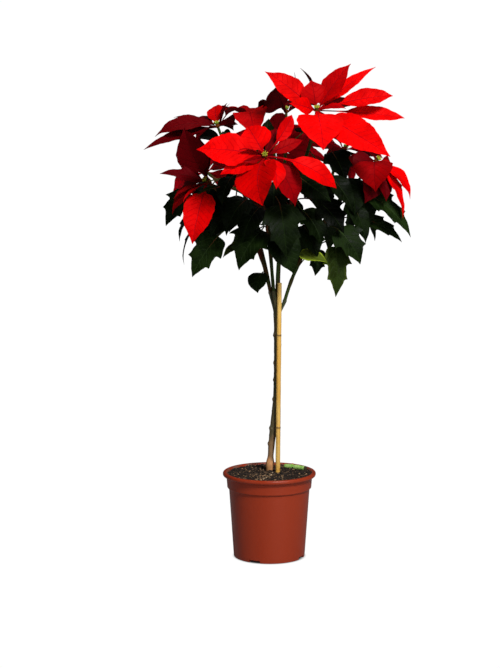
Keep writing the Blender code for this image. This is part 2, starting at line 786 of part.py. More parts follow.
def blade_sections(spec):
    """Centre, side and normal of the blade at each station, with its half width, lead and thickness."""
    root, tip = spec.root, spec.tip
    chord = tip - root
    length = chord.length
    ahead = chord.normalized()
    side = ahead.cross(spec.facing)
    if side.length < 0.2:
        side = ahead.cross(UP if abs(ahead.z) < 0.8 else Vector((1, 0, 0)))
    side.normalize()
    side = Matrix.Rotation(math.radians(spec.roll), 3, ahead) @ side
    normal = side.cross(ahead)
    control = (root + tip) / 2 + normal * spec.arch * 2
    sections = []

    def along(t):
        return (1 - t) ** 2 * root + 2 * t * (1 - t) * control + t * t * tip

    if spec.start is not None:
        sections += petiole_sections(spec.start, root, (control - root).normalized(), side)
    for t, share, lead in OUTLINES[spec.outline]:
        ahead = (2 * (1 - t) * (control - root) + 2 * t * (tip - control)).normalized()
        half = max(spec.width / 2 * share, NECK_HALF if t < 0.2 else TIP_HALF)
        thick = NECK_THICK if t == 0 else BLADE
        sections.append((along(t), side, side.cross(ahead), half, lead * length, thick))
    return sections


def blade(spec, extra=0, skip=0):
    """Points and faces of a blade: six points to a section, split alike on both faces."""
    points = []
    sections = blade_sections(spec)[skip:]
    for centre, side, normal, half, lead, thick in sections:
        ahead = normal.cross(side)
        rise = normal * half * (FOLD if thick == BLADE else 0)
        half = half + extra / 2
        up = normal * (thick + extra) / 2
        left = centre - side * half + rise + ahead * lead
        right = centre + side * half + rise + ahead * lead
        points += [left + up, centre + up, right + up, right - up, centre - up, left - up]
    faces = []
    for ring in range(len(sections) - 1):
        low, high = ring * 6, ring * 6 + 6
        # each half is split from its margin, above and below
        for first, second, flip in ((0, 1, 0), (1, 2, 1), (2, 3, 0), (3, 4, 0), (4, 5, 1), (5, 0, 0)):
            a, b, c, d = low + first, low + second, high + second, high + first
            if flip:
                faces += [[a, b, d], [b, c, d]]
            else:
                faces += [[a, b, c], [a, c, d]]
    last = (len(sections) - 1) * 6
    faces += [[0, 5, 4], [0, 4, 1], [1, 4, 3], [1, 3, 2]]
    faces += [[last + a, last + b, last + c] for a, b, c in ((0, 4, 5), (0, 1, 4), (1, 3, 4), (1, 2, 3))]
    return points, faces


def turned(spec, lift, swing, shrink):
    """The blade turned about its root or petiole's foot, and made a little shorter."""
    pivot = spec.root if spec.start is None else spec.start
    ahead = (spec.tip - pivot).normalized()
    side = ahead.cross(spec.facing)
    if side.length < 0.2:
        side = ahead.cross(Vector((1, 0, 0)))
    side.normalize()
    normal = side.cross(ahead)
    turn = Matrix.Rotation(math.radians(lift), 3, side) @ Matrix.Rotation(math.radians(swing), 3, normal)
    far = pivot + turn @ (spec.tip - pivot) * shrink
    near = pivot + turn @ (spec.root - pivot) * shrink
    return spec._replace(root=near, tip=far, width=spec.width * shrink, arch=spec.arch * shrink)


def clear_turns():
    """Small turns of a blade, the least first."""
    turns = []
    bends = range(-BEND_LIMIT, BEND_LIMIT + 1, BEND_STEP)
    for shrink in SHRINKS:
        for lift in bends:
            for swing in bends:
                cost = math.hypot(lift, swing) + SHRINK_COST * (1 - shrink)
                turns.append((cost, lift, swing, shrink))
    return [turn[1:] for turn in sorted(turns)]


def limits(points):
    low = [min(point[axis] for point in points) for axis in range(3)]
    high = [max(point[axis] for point in points) for axis in range(3)]
    return low, high


def meets(form, crowd):
    """Whether a form of points and faces crosses anything in a list of placed ones."""
    tree = BVHTree.FromPolygons(*form)
    low, high = limits(form[0])
    for node, placed, other_low, other_high in crowd:
        apart = any(low[axis] > other_high[axis] or high[axis] < other_low[axis] for axis in range(3))
        if not apart and tree.overlap(placed):
            return True
    return False


class Crowd:
    """What is in place: padded blades and stems by node, and each blade's outer part by itself."""

    def __init__(self):
        self.whole = []
        self.outer = []
        self.turns = clear_turns()

    def add(self, node, points, faces, outer=False):
        placed = (node, BVHTree.FromPolygons(points, faces), *limits(points))
        (self.outer if outer else self.whole).append(placed)

    def place(self, spec, node):
        """The blade bent clear of the rest; blades of its own node are kept off its outer part too."""
        inner = NECK_SECTIONS + (0 if spec.start is None else PETIOLE_STEPS)
        others = [placed for placed in self.whole if placed[0] != node]
        own = [placed for placed in self.outer if placed[0] == node]
        for keep_off in (own, []):
            for turn in self.turns:
                bent = turned(spec, *turn)
                padded = blade(bent, extra=CLEARANCE - BLADE)
                if meets(padded, others):
                    continue
                outer = blade(bent, extra=CLEARANCE - BLADE, skip=inner)
                if meets(outer, keep_off):
                    continue
                self.add(node, *padded)
                self.add(node, *outer, outer=True)
                return bent


def shoots(name):
    """The paths of a branch's shoots, one to each bloom; later ones leave the first one's side."""
    branch = BRANCHES[name]
    start, ahead = branch_start(branch)
    paths = []
    for number, bloom in enumerate(branch["blooms"]):
        axis = Vector(BLOOMS[bloom]["axis"]).normalized()
        end = Vector(BLOOMS[bloom]["centre"]) - axis * (RECEPTACLE + GAP)
        if number:
            start = paths[0][2]
            ahead = (paths[0][3] - paths[0][1]).normalized()
        else:
            start = start + ahead * GAP
        reach = (end - start).length
        paths.append(cubic(start, end, ahead * reach * 0.4, axis * reach * 0.3, SHOOT_STEPS))
    return paths


def shoot_point(path, share, towards):
    """A place just off the middle of a shoot, on the side of the leaf that leaves it there."""
    place = share * (len(path) - 1)
    low = min(int(place), len(path) - 2)
    middle = path[low].lerp(path[low + 1], place - low)
    return middle + (towards - middle).normalized() * 0.7


def shoot_radii(path, thick):
    return [thick + (SHOOT_TIP - thick) * number / (len(path) - 1) for number in range(len(path))]


def whorl_bracts(bloom):
    """Bracts set round a bloom's axis by the golden angle, the lower ones longer."""
    rule = bloom["whorl"]
    axis = Vector(bloom["axis"]).normalized()
    across = axis.cross(UP).normalized()
    other = axis.cross(across)
    bracts = []
    for number in range(rule["count"]):
        angle = math.radians(rule["turn"] + GOLDEN_ANGLE * number)
        size = 1 - WHORL_TAPER * number
        droop = math.radians(rule["droop"] - WHORL_RISE * number)
        out = across * math.cos(angle) + other * math.sin(angle)
        tip = (out * math.cos(droop) - axis * math.sin(droop)) * rule["length"] * size
        outline = "bract" if number % 3 else "lobed"
        bracts.append((tip, rule["width"] * size, WHORL_ARCH * size, 0, outline))
    return bracts


def bract_specs(bloom):
    axis = Vector(bloom["axis"]).normalized()
    centre = Vector(bloom["centre"])
    specs = []
    for tip, width, arch, roll, outline in bloom.get("bracts") or whorl_bracts(bloom):
        out = Vector(tip)
        flat = (out - axis * out.dot(axis)).normalized()
        steep = max(0, out.normalized().dot(axis))
        root = centre + flat * (BRACT_OFFSET + 2 * steep) - axis * BRACT_DEPTH
        specs.append(Blade(root, centre + out, axis, width, arch, roll, outline, None))
    return specs


def leaf_specs(name, paths):
    """A leaf's upper face looks away from the middle of the head and up."""
    specs = []
    for shoot, share, foot, tip, width, arch, roll, outline in BRANCHES[name]["leaves"]:
        foot, tip = Vector(foot), Vector(tip)
        out = (foot.xy - Vector(HEAD_MIDDLE)).normalized()
        facing = (out.to_3d() + UP * LEAF_UPTURN).normalized()
        start = shoot_point(paths[shoot], share, foot)
        specs.append(Blade(foot, tip, facing, width, arch, roll, outline, start))
    return specs


def settle():
    """Every shoot and blade in its place, the blooms that face the front first."""
    crowd = Crowd()
    paths = {name: shoots(name) for name in BRANCHES}
    for name in BRANCHES:
        for path in paths[name]:
            radii = [radius + STEM_ROOM for radius in shoot_radii(path, STUB_RADIUS)]
            last = path[-1] - (path[-1] - path[-2]).normalized() * FREE_TIP
            crowd.add("branch_" + name, *tube(path[:-1] + [last], radii, 6))
    for name, bloom in BLOOMS.items():
        axis = Vector(bloom["axis"]).normalized()
        centre = Vector(bloom["centre"])
        radius, height = CYATHIA_ROOM
        crowd.add("cyathia_" + name, *tube([centre + axis, centre + axis * height], [radius] * 2, 8))
    crowd.add("cane", *tube([Vector(CANE_FOOT), Vector(CANE_TOP)], [CANE_RADIUS + STEM_ROOM] * 2, 8))
    for branch in BRANCHES.values():
        end, ahead = branch_start(branch)
        crowd.add("trunk", *tube([Vector(STUB_ROOT), end], [STUB_RADIUS + STEM_ROOM] * 2, 6))
    placed = {}
    for name, bloom in BLOOMS.items():
        node = "bloom_" + name
        placed[node] = [crowd.place(spec, node) for spec in bract_specs(bloom)]
    for name in BRANCHES:
        node = "branch_" + name
        placed[node] = [crowd.place(spec, node) for spec in leaf_specs(name, paths[name])]
    return paths, placed


def along_axis(centre, axis, form):
    """A tube's path and radii from places along an axis."""
    return [centre + axis * place for place, radius in form], [radius for place, radius in form]


def make_bloom(name, specs):
    axis = Vector(BLOOMS[name]["axis"]).normalized()
    centre = Vector(BLOOMS[name]["centre"])
    head = solid("bloom_" + name, *tube(*along_axis(centre, axis, HEAD_FORM), 6), "red_bract")
    bracts = [solid("bract", *blade(spec), "red_bract") for spec in specs]
    combine(head, "UNION", bracts)
    shade(head, 60)


def make_cyathia(name):
    """The small true flowers in the middle of a bloom: a short cluster with buds on it."""
    axis = Vector(BLOOMS[name]["axis"]).normalized()
    foot = Vector(BLOOMS[name]["centre"]) + axis * CLUSTER_FOOT
    cluster = solid("cyathia_" + name, *tube(*along_axis(foot, axis, CLUSTER_FORM), 4), "cyathium")
    across = axis.orthogonal().normalized()
    buds = []
    for number in range(BUDS):
        out = Matrix.Rotation(math.tau * number / BUDS, 3, axis) @ across
        lean = (axis + out * BUD_LEAN).normalized()
        form = tube(*along_axis(foot + axis + out * BUD_OFFSET, lean, BUD_FORM), 3)
        buds.append(solid("bud", *form, "cyathium"))
    combine(cluster, "UNION", buds)
    shade(cluster, 60)


def make_branch(name, paths, specs):
    ahead = branch_start(BRANCHES[name])[1]
    axes = [Vector(BLOOMS[bloom]["axis"]) for bloom in BRANCHES[name]["blooms"]]
    radii = shoot_radii(paths[0], STUB_RADIUS - 0.3)
    stem = solid(
        "branch_" + name,
        *tube(paths[0], radii, SHOOT_SIDES, first=ahead, last=axes[0]),
        "green_leaf",
    )
    parts = [solid("leaf", *blade(spec), "green_leaf") for spec in specs]
    for path, axis in zip(paths[1:], axes[1:]):
        radii = shoot_radii(path, STUB_RADIUS - 0.5)
        parts.append(solid("shoot", *tube(path, radii, SHOOT_SIDES, last=axis), "green_leaf"))
    combine(stem, "UNION", parts)
    shade(stem, 60)


def main():
    for thing in list(bpy.data.objects):
        bpy.data.objects.remove(thing)
    pot()
    ground = soil()
    trunk()
    cane()
    loose_pieces(ground)
    paths, placed = settle()
    for name in BLOOMS:
        make_bloom(name, placed["bloom_" + name])
        make_cyathia(name)
    for name in BRANCHES:
        make_branch(name, paths[name], placed["branch_" + name])


main()
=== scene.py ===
import json
import math
import random
from collections import namedtuple

import bpy
from mathutils import Matrix, Vector
from mathutils.bvhtree import BVHTree
from mathutils.noise import noise

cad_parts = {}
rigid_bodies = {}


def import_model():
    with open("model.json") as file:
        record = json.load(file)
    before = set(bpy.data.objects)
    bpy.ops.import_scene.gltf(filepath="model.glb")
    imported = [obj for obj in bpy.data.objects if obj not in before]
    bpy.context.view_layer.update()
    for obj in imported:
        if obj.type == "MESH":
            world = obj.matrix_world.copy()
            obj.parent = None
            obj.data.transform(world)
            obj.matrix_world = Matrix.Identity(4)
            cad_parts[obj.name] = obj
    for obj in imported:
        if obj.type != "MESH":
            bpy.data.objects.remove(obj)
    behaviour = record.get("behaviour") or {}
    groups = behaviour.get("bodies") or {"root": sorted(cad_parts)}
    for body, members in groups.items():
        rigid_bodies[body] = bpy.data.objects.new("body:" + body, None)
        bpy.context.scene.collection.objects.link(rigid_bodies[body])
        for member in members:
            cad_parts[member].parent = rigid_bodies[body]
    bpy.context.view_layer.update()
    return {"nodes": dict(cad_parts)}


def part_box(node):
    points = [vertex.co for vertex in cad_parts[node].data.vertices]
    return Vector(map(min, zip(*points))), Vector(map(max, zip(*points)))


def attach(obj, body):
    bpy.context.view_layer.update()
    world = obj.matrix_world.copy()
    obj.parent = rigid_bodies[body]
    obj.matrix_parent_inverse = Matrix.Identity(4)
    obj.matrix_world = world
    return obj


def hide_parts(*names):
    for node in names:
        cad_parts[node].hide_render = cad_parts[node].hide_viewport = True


for leftover in list(bpy.data.objects):
    bpy.data.objects.remove(leftover)
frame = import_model()
mm = 0.001  # tables and sizes below are in millimetres
up = Vector((0, 0, 1))
print("frame loaded:", len(frame["nodes"]), "nodes")

Blade = namedtuple("Blade", "root tip facing width arch roll outline start")

trunkSizes = {
    "foot": 96,
    "top": 456,
    "path": (
        (0, 9, 96), (1, 9, 160), (4, 8, 205), (9, 7, 255), (13, 6.5, 300), (14, 6.5, 365), (14, 6.5, 456),
    ),
    "radii": (  # height, radius
        (96, 5), (158, 6.3), (166, 8.2), (173, 7.6), (181, 5.4), (192, 5.4), (212, 6.2), (300, 6),
        (425, 6), (450, 7.4), (456, 5),
    ),
    "scars": ((408, -1), (390, 1), (357, -1), (326, -1), (290, -1), (236, -1), (207, -1)),  # height, side
    "scarRise": 1.7,
    "scarReach": 3.2,
    "rings": (412, 350, 318, 268, 222),  # old leaf lines that go right round
    "ringRise": 0.35,
    "paleRings": 2,  # how many of them, from the top, have gone pale
    "stubRadius": 3.3,
    "stubRoot": (14, 7, 440),
    "stubSpread": 0.12,
    "stubBend": 15,
    "stubUpturn": 0.5,
    "stubFlare": 1.6,
    "stubSteps": 16,
    "steps": 170,
    "sides": 26,
}

caneSizes = {
    "foot": (14.6, -6.4, 26),
    "top": (17.8, -6.4, 505),
    "radius": 4.3,
    "nodes": (150, 240, 410),
    "nodeRise": 0.35,
    "nodeDip": 0.15,
    "steps": 150,
    "sides": 24,
}

shootSizes = {
    "tip": 2.4,
    "steps": 6,
    "freeTip": 8,
    "fineSteps": 30,
    "fineSides": 12,
    "jointRise": 0.55,
    "jointReach": 0.022,
}

flowerSizes = {
    "receptacle": 5.5,
    "bractDrop": 3.3,
    "bractOffset": 2.5,
    "buds": 8,
    "budHeight": 5.6,
    "budRadius": 1.75,
    "ring": 3.5,
}

bladeSizes = {
    "thick": 0.8,  # of the coarse blades that are bent clear
    "fineThick": 0.5,
    "neckThick": 1.8,
    "neckHalf": 1.3,
    "tipHalf": 0.6,
    "fold": 0.16,
    "neckSections": 2,
    "petiole": 1.15,
    "petioleSteps": 2,
    "petioleRise": 0.25,
    "petioleRun": 0.4,
    "headMiddle": (15, 10),
    "leafUpturn": 0.8,
    "rows": 44,
    "columns": 7,
}

bendRule = {
    "clearance": 1.7,
    "stemRoom": 0.8,
    "flowerRoom": (4.4, 9),
    "limit": 42,
    "step": 6,
    "shrinks": (1, 0.92, 0.84, 0.74),
    "shrinkCost": 70,
}

whorlRule = {"turn": 137.5, "taper": 0.045, "rise": 5, "arch": 14}

# along the midrib, share of the half width, lead of the margin: the coarse outline
coarseOutlines = {
    "bract": ((0, 0.05, 0), (0.17, 0.26, 0), (0.45, 1, 0.02), (0.77, 0.6, 0.01), (1, 0.02, 0)),
    "small": ((0, 0.1, 0), (0.52, 1, 0.01), (1, 0.04, 0)),
    "lobed": ((0, 0.05, 0), (0.17, 0.3, 0), (0.46, 1, 0.06), (0.55, 0.62, 0.02), (1, 0.02, 0)),
    "broad": ((0, 0.05, 0), (0.19, 0.16, 0), (0.37, 0.94, -0.02), (0.67, 0.82, 0.01), (1, 0.02, 0)),
    "oar": ((0, 0.05, 0), (0.32, 0.12, 0), (0.5, 0.86, 0), (0.74, 0.92, 0.01), (1, 0.02, 0)),
    "plain": (
        (0, 0.08, 0), (0.08, 0.55, -0.03), (0.28, 1, 0), (0.5, 0.88, 0.01), (0.74, 0.48, 0.01), (1, 0.02, 0),
    ),
    "leaf": (
        (0, 0.08, 0), (0.07, 0.55, -0.04), (0.28, 1, 0.07), (0.36, 0.64, 0.02), (0.56, 0.7, 0.08),
        (1, 0.02, 0),
    ),
}

# the same outlines drawn finely; the last number is 1 at a corner
fineOutlines = {
    "bract": (
        (0, 0.05, 0, 1), (0.08, 0.09, 0, 0), (0.17, 0.27, 0, 0), (0.3, 0.74, 0.01, 0), (0.44, 1, 0.02, 0),
        (0.6, 0.9, 0.02, 0), (0.77, 0.57, 0.01, 0), (0.89, 0.24, 0, 0), (0.95, 0.09, 0, 0), (1, 0.01, 0, 1),
    ),
    "small": (
        (0, 0.1, 0, 1), (0.2, 0.5, 0, 0), (0.45, 1, 0.01, 0), (0.75, 0.66, 0.01, 0), (0.92, 0.2, 0, 0),
        (1, 0.02, 0, 1),
    ),
    "lobed": (
        (0, 0.05, 0, 1), (0.08, 0.1, 0, 0), (0.17, 0.3, 0, 0), (0.33, 0.76, 0.02, 0), (0.46, 1.02, 0.06, 1),
        (0.5, 0.76, 0.03, 0), (0.56, 0.64, 0.02, 0), (0.75, 0.43, 0.01, 0), (0.9, 0.18, 0, 0),
        (0.96, 0.07, 0, 0), (1, 0.01, 0, 1),
    ),
    "broad": (
        (0, 0.05, 0, 1), (0.1, 0.08, 0, 0), (0.18, 0.15, 0, 0), (0.26, 0.6, -0.03, 0), (0.36, 0.93, -0.02, 0),
        (0.46, 1, 0, 0), (0.6, 0.92, 0.01, 0), (0.75, 0.66, 0.01, 0), (0.87, 0.34, 0, 0), (0.94, 0.14, 0, 0),
        (1, 0.01, 0, 1),
    ),
    "oar": (
        (0, 0.05, 0, 1), (0.2, 0.08, 0, 0), (0.32, 0.13, 0, 0), (0.4, 0.5, -0.01, 0), (0.5, 0.86, 0, 0),
        (0.62, 1, 0, 0), (0.76, 0.88, 0.01, 0), (0.88, 0.52, 0.01, 0), (0.95, 0.22, 0, 0), (1, 0.01, 0, 1),
    ),
    "plain": (
        (0, 0.08, 0, 1), (0.03, 0.36, -0.02, 0), (0.08, 0.6, -0.03, 0), (0.17, 0.88, -0.01, 0),
        (0.28, 1, 0, 0), (0.5, 0.88, 0.01, 0), (0.74, 0.49, 0.01, 0), (0.89, 0.19, 0, 0),
        (0.95, 0.08, 0, 0), (1, 0.01, 0, 1),
    ),
    "leaf": (
        (0, 0.08, 0, 1), (0.03, 0.36, -0.03, 0), (0.07, 0.58, -0.04, 0), (0.17, 0.84, 0.01, 0),
        (0.28, 1.05, 0.08, 1), (0.32, 0.78, 0.04, 0), (0.37, 0.66, 0.03, 0), (0.46, 0.66, 0.05, 0),
        (0.56, 0.73, 0.09, 1), (0.61, 0.54, 0.05, 0), (0.68, 0.44, 0.03, 0), (0.82, 0.25, 0.01, 0),
        (0.93, 0.1, 0, 0), (1, 0.01, 0, 1),
    ),
}

# Blooms: centre, the way the bloom faces, and its bracts. A bract is its tip from the centre
# (right, back, up), its width, how far it bows up, its roll in degrees and its outline.
blooms = {
    "front": {
        "centre": (-8, -130, 741),
        "axis": (-0.1, -0.86, 0.5),
        "bracts": (
            ((-119, 4, 10), 62, 9, 0, "bract"),
            ((-5, -52, -84), 84, 18, 30, "broad"),
            ((54, 0, -90), 52, 20, -20, "bract"),
            ((124, -2, -57), 42, 22, -12, "oar"),
            ((-84, -24, -34), 40, 2, 0, "broad"),
            ((-32, 30, 49), 54, 6, 0, "broad"),
            ((48, 30, 69), 26, 10, 40, "oar"),
            ((74, 22, 28), 26, 6, 10, "bract"),
            ((21, 44, 45), 28, 4, 0, "bract"),
            ((13, -38, -58), 42, 12, -40, "broad"),
            ((-42, -20, 13), 13, 4, 55, "small"),
            ((-38, -22, -10), 13, 4, -50, "small"),
        ),
    },
    "right_top": {
        "centre": (82, -50, 818),
        "axis": (0.05, -0.5, 0.87),
        "bracts": (
            ((-91, 6, 66), 42, 8, -30, "bract"),
            ((59, 8, 80), 46, 4, 0, "bract"),
            ((134, -4, 24), 38, 8, 22, "oar"),
            ((10, -84, -68), 80, 12, 0, "broad"),
            ((125, -84, -78), 58, 2, 25, "broad"),
            ((104, 16, 75), 26, 4, 10, "bract"),
            ((156, 10, -16), 30, 4, 25, "oar"),
            ((-27, 34, 72), 20, 8, 80, "bract"),
            ((-12, 22, 47), 50, 4, 0, "broad"),
            ((-47, -40, 11), 32, 4, -45, "bract"),
            ((51, -22, 2), 22, 5, 0, "small"),
            ((77, 48, 7), 36, 8, 0, "bract"),
        ),
    },
    "left_top": {
        "centre": (-94, 0, 788),
        "axis": (-0.35, 0.1, 0.93),
        "bracts": (
            ((-131, -22, -42), 38, 8, -50, "lobed"),
            ((-113, 0, -20), 46, 16, -40, "bract"),
            ((-76, 14, 24), 26, 4, -20, "bract"),
            ((3, 6, 41), 16, 2, 40, "small"),
            ((-4, 60, 34), 32, 8, 0, "bract"),
            ((21, 20, 38), 9, 3, 0, "small"),
            ((42, 8, 33), 10, 6, 0, "small"),
            ((38, -16, 2), 20, 4, -40, "small"),
            ((-36, -34, -30), 34, 8, 0, "bract"),
            ((-66, 66, -8), 42, 14, 0, "bract"),
            ((28, 78, -12), 44, 14, 0, "bract"),
        ),
    },
    "left_low": {
        "centre": (-112, -52, 692),
        "axis": (-0.66, -0.45, 0.6),
        "bracts": (
            ((-24, -46, -108), 58, 8, -38, "broad"),
            ((-81, -6, 20), 34, 8, 0, "lobed"),
            ((-40, 10, 92), 68, 8, 0, "broad"),
            ((-56, -10, -64), 42, 12, 0, "bract"),
            ((-16, 12, 80), 56, 4, 0, "bract"),
            ((-58, -28, -28), 17, 5, 0, "bract"),
            ((-41, -40, -34), 15, 5, 0, "small"),
            ((-44, 62, -16), 40, 12, 0, "bract"),
        ),
    },
    "top_back": {
        "centre": (30, 84, 812),
        "axis": (0, 0.12, 0.99),
        "bracts": (
            ((-20, -88, 46), 70, 2, 45, "broad"),
            ((24, 14, 66), 40, 4, 0, "broad"),
            ((4, 96, 4), 46, 16, 0, "bract"),
            ((72, 58, 16), 42, 14, 0, "bract"),
            ((-54, 70, 2), 42, 14, 0, "bract"),
            ((62, 6, 6), 34, 8, 0, "bract"),
        ),
    },
    "left_back": {
        "centre": (-34, 92, 800),
        "axis": (-0.15, 0.05, 0.98),
        "bracts": (
            ((12, -122, -46), 72, 38, 5, "broad"),
            ((-82, 14, 6), 42, 14, 0, "bract"),
            ((-50, 76, -2), 44, 16, 0, "bract"),
            ((18, 88, 4), 42, 16, 0, "bract"),
            ((-56, -34, 10), 34, 10, 0, "bract"),
        ),
    },
    "right_low": {
        "centre": (192, 0, 726),
        "axis": (0.6, -0.35, 0.7),
        "bracts": (
            ((62, 0, -70), 36, 14, 10, "bract"),
            ((-4, -40, -56), 68, 28, 50, "bract"),
            ((57, -22, -98), 32, 14, 10, "lobed"),
            ((16, -28, -72), 36, 6, 20, "broad"),
            ((29, -14, -10), 18, 4, 30, "small"),
            ((-48, -20, -12), 44, 8, 0, "bract"),
            ((-22, -30, -76), 48, 6, 0, "broad"),
            ((34, 62, -42), 42, 14, 0, "bract"),
            ((-26, 66, 4), 40, 8, 0, "bract"),
        ),
    },
    "back_left": {
        "centre": (-118, 104, 700),
        "axis": (-0.5, 0.7, 0.5),
        "whorl": {"count": 6, "length": 98, "width": 44, "droop": 24, "turn": 20},
    },
    "back_middle": {
        "centre": (8, 158, 742),
        "axis": (0, 0.87, 0.5),
        "whorl": {"count": 7, "length": 108, "width": 48, "droop": 20, "turn": 5},
    },
    "back_right": {
        "centre": (138, 108, 742),
        "axis": (0.5, 0.62, 0.6),
        "whorl": {"count": 7, "length": 102, "width": 46, "droop": 22, "turn": 50},
    },
}

# Branches: where each leaves the trunk, the blooms it carries, and its leaves. A leaf is the place
# on its shoot (shoot number and share of its length), the foot and the tip of its blade, its
# width, how far it bows, its roll in degrees and its outline.
branches = {
    "front": {
        "stub": (7, -7, 491),
        "blooms": ("front",),
        "leaves": (
            (0, 0.62, (18, -92, 652), (30, -104, 560), 74, 12, 0, "leaf"),
            (0, 0.84, (-8, -92, 748), (-2, -66, 802), 36, 4, 0, "plain"),
            (0, 0.72, (52, -92, 700), (108, -96, 658), 42, 6, 30, "plain"),
            (0, 0.5, (-40, -78, 662), (-78, -92, 598), 66, 10, 0, "leaf"),
            (0, 0.3, (14, -66, 600), (42, -72, 529), 60, 10, 0, "plain"),
            (0, 0.42, (-18, -66, 646), (-46, -80, 590), 62, 10, 0, "plain"),
            (0, 0.66, (8, -66, 690), (8, -76, 634), 60, 8, 0, "plain"),
        ),
    },
    "left_low": {
        "stub": (1, 0, 489),
        "blooms": ("left_low",),
        "leaves": (
            (0, 0.4, (-14, -62, 606), (-56, -74, 535), 80, 10, 0, "leaf"),
            (0, 0.06, (-14, -16, 524), (-22, -24, 488), 52, 5, 0, "plain"),
            (0, 0.66, (-66, -74, 700), (-84, -90, 651), 44, 6, 0, "plain"),
            (0, 0.24, (-50, -40, 578), (-84, -40, 554), 26, 4, 0, "plain"),
            (0, 0.9, (-92, -80, 682), (-130, -98, 668), 15, 3, 50, "plain"),
            (0, 0.55, (-92, -36, 592), (-139, -40, 519), 66, 8, -45, "leaf"),
            (0, 0.5, (-72, -46, 640), (-104, -62, 592), 60, 8, -45, "leaf"),
            (0, 0.58, (-62, -36, 660), (-72, -48, 600), 62, 8, -45, "plain"),
        ),
    },
    "left_top": {
        "stub": (1, 11, 490),
        "blooms": ("left_top",),
        "leaves": (
            (0, 0.62, (-148, 12, 676), (-194, -6, 622), 56, 8, -60, "leaf"),
            (0, 0.42, (-138, 14, 602), (-156, 4, 537), 30, 6, 0, "leaf"),
            (0, 0.82, (-122, 24, 750), (-158, 10, 734), 50, 5, -30, "plain"),
            (0, 0.9, (-82, -22, 776), (-66, -36, 768), 16, 2, 0, "plain"),
            (0, 0.3, (-70, 30, 604), (-112, 34, 548), 58, 8, 0, "leaf"),
            (0, 0.72, (-60, -24, 722), (-44, -62, 682), 50, 8, 0, "plain"),
            (0, 0.5, (-104, -4, 640), (-132, -20, 586), 58, 8, -60, "leaf"),
            (0, 0.64, (-98, -14, 674), (-102, -34, 616), 62, 8, -60, "plain"),
        ),
    },
    "left_back": {
        "stub": (7, 20, 492),
        "blooms": ("left_back", "back_left"),
        "leaves": (
            (1, 0.55, (-118, 62, 640), (-168, 62, 574), 56, 10, 0, "leaf"),
            (1, 0.72, (-96, 118, 636), (-118, 146, 564), 60, 10, 0, "leaf"),
            (0, 0.3, (-34, 84, 600), (-52, 122, 538), 62, 10, 0, "leaf"),
            (0, 0.72, (-64, 120, 742), (-58, 168, 700), 56, 10, 0, "leaf"),
            (0, 0.88, (-92, 84, 752), (-140, 84, 748), 44, 8, 0, "plain"),
        ),
    },
    "right_top": {
        "stub": (14, 9, 500),
        "blooms": ("right_top",),
        "leaves": (
            (0, 0.5, (58, -58, 640), (92, -72, 576), 62, 10, 0, "leaf"),
            (0, 0.72, (106, -74, 700), (146, -78, 640), 40, 8, 20, "plain"),
            (0, 0.12, (54, -38, 560), (104, -44, 546), 34, 5, 0, "plain"),
            (0, 0.62, (40, -40, 720), (62, -84, 690), 50, 8, 0, "plain"),
            (0, 0.86, (106, -20, 786), (158, 0, 772), 44, 8, 20, "leaf"),
            (0, 0.4, (92, -40, 650), (132, -58, 600), 60, 8, 40, "leaf"),
            (0, 0.3, (60, -34, 612), (86, -46, 556), 60, 8, 35, "leaf"),
            (0, 0.78, (110, -36, 742), (134, -54, 690), 58, 8, 45, "leaf"),
            (0, 0.56, (80, -26, 690), (92, -44, 630), 62, 8, 20, "plain"),
            (0, 0.66, (138, -12, 694), (152, -30, 628), 64, 8, 45, "plain"),
        ),
    },
    "top_back": {
        "stub": (16, 21, 494),
        "blooms": ("top_back", "back_middle"),
        "leaves": (
            (0, 0.2, (40, 66, 592), (54, 104, 528), 60, 10, 0, "leaf"),
            (1, 0.5, (-14, 130, 640), (-24, 176, 586), 60, 10, 0, "leaf"),
            (1, 0.7, (58, 142, 680), (92, 176, 622), 60, 10, 0, "leaf"),
            (0, 0.75, (66, 110, 760), (92, 150, 744), 50, 8, 0, "plain"),
            (0, 0.5, (0, 60, 690), (-26, 30, 640), 50, 8, 0, "plain"),
            (0, 0.35, (30, 44, 650), (40, 20, 590), 56, 8, 0, "plain"),
        ),
    },
    "right_low": {
        "stub": (28, 5, 473),
        "blooms": ("right_low", "back_right"),
        "leaves": (
            (0, 0.66, (172, 4, 668), (256, -4, 588), 54, 12, 45, "leaf"),
            (0, 0.4, (172, 24, 618), (240, 18, 577), 40, 8, 50, "leaf"),
            (0, 0.5, (160, -24, 650), (187, -30, 571), 42, 6, 50, "plain"),
            (0, 0.3, (122, -34, 604), (163, -42, 542), 62, 10, 45, "leaf"),
            (0, 0.1, (124, -24, 578), (126, -36, 480), 58, 8, 50, "leaf"),
            (0, 0.2, (84, -4, 566), (82, -14, 518), 40, 6, 50, "leaf"),
            (1, 0.6, (150, 84, 640), (196, 96, 572), 58, 10, 0, "leaf"),
            (1, 0.4, (96, 92, 610), (110, 136, 548), 58, 10, 0, "leaf"),
            (0, 0.8, (160, -30, 680), (170, -50, 622), 56, 8, 40, "leaf"),
            (0, 0.56, (158, 6, 662), (172, -6, 598), 58, 8, 60, "plain"),
        ),
    },
}


# curves and coarse blades, laid out by the same rule as the solids


def bell(distance, reach):
    return math.exp(-((distance / reach) ** 2))


def smoothPath(points, steps):
    points = [Vector(point) for point in points]
    ends = [points[0] * 2 - points[1]] + points + [points[-1] * 2 - points[-2]]
    path = []
    for before, start, end, after in zip(ends, ends[1:], ends[2:], ends[3:]):
        for step in range(steps):
            t = step / steps
            bend = (2 * before - 5 * start + 4 * end - after) * t * t
            twist = (3 * start - before - 3 * end + after) * t**3
            path.append(0.5 * (2 * start + (end - before) * t + bend + twist))
    return path + [points[-1]]


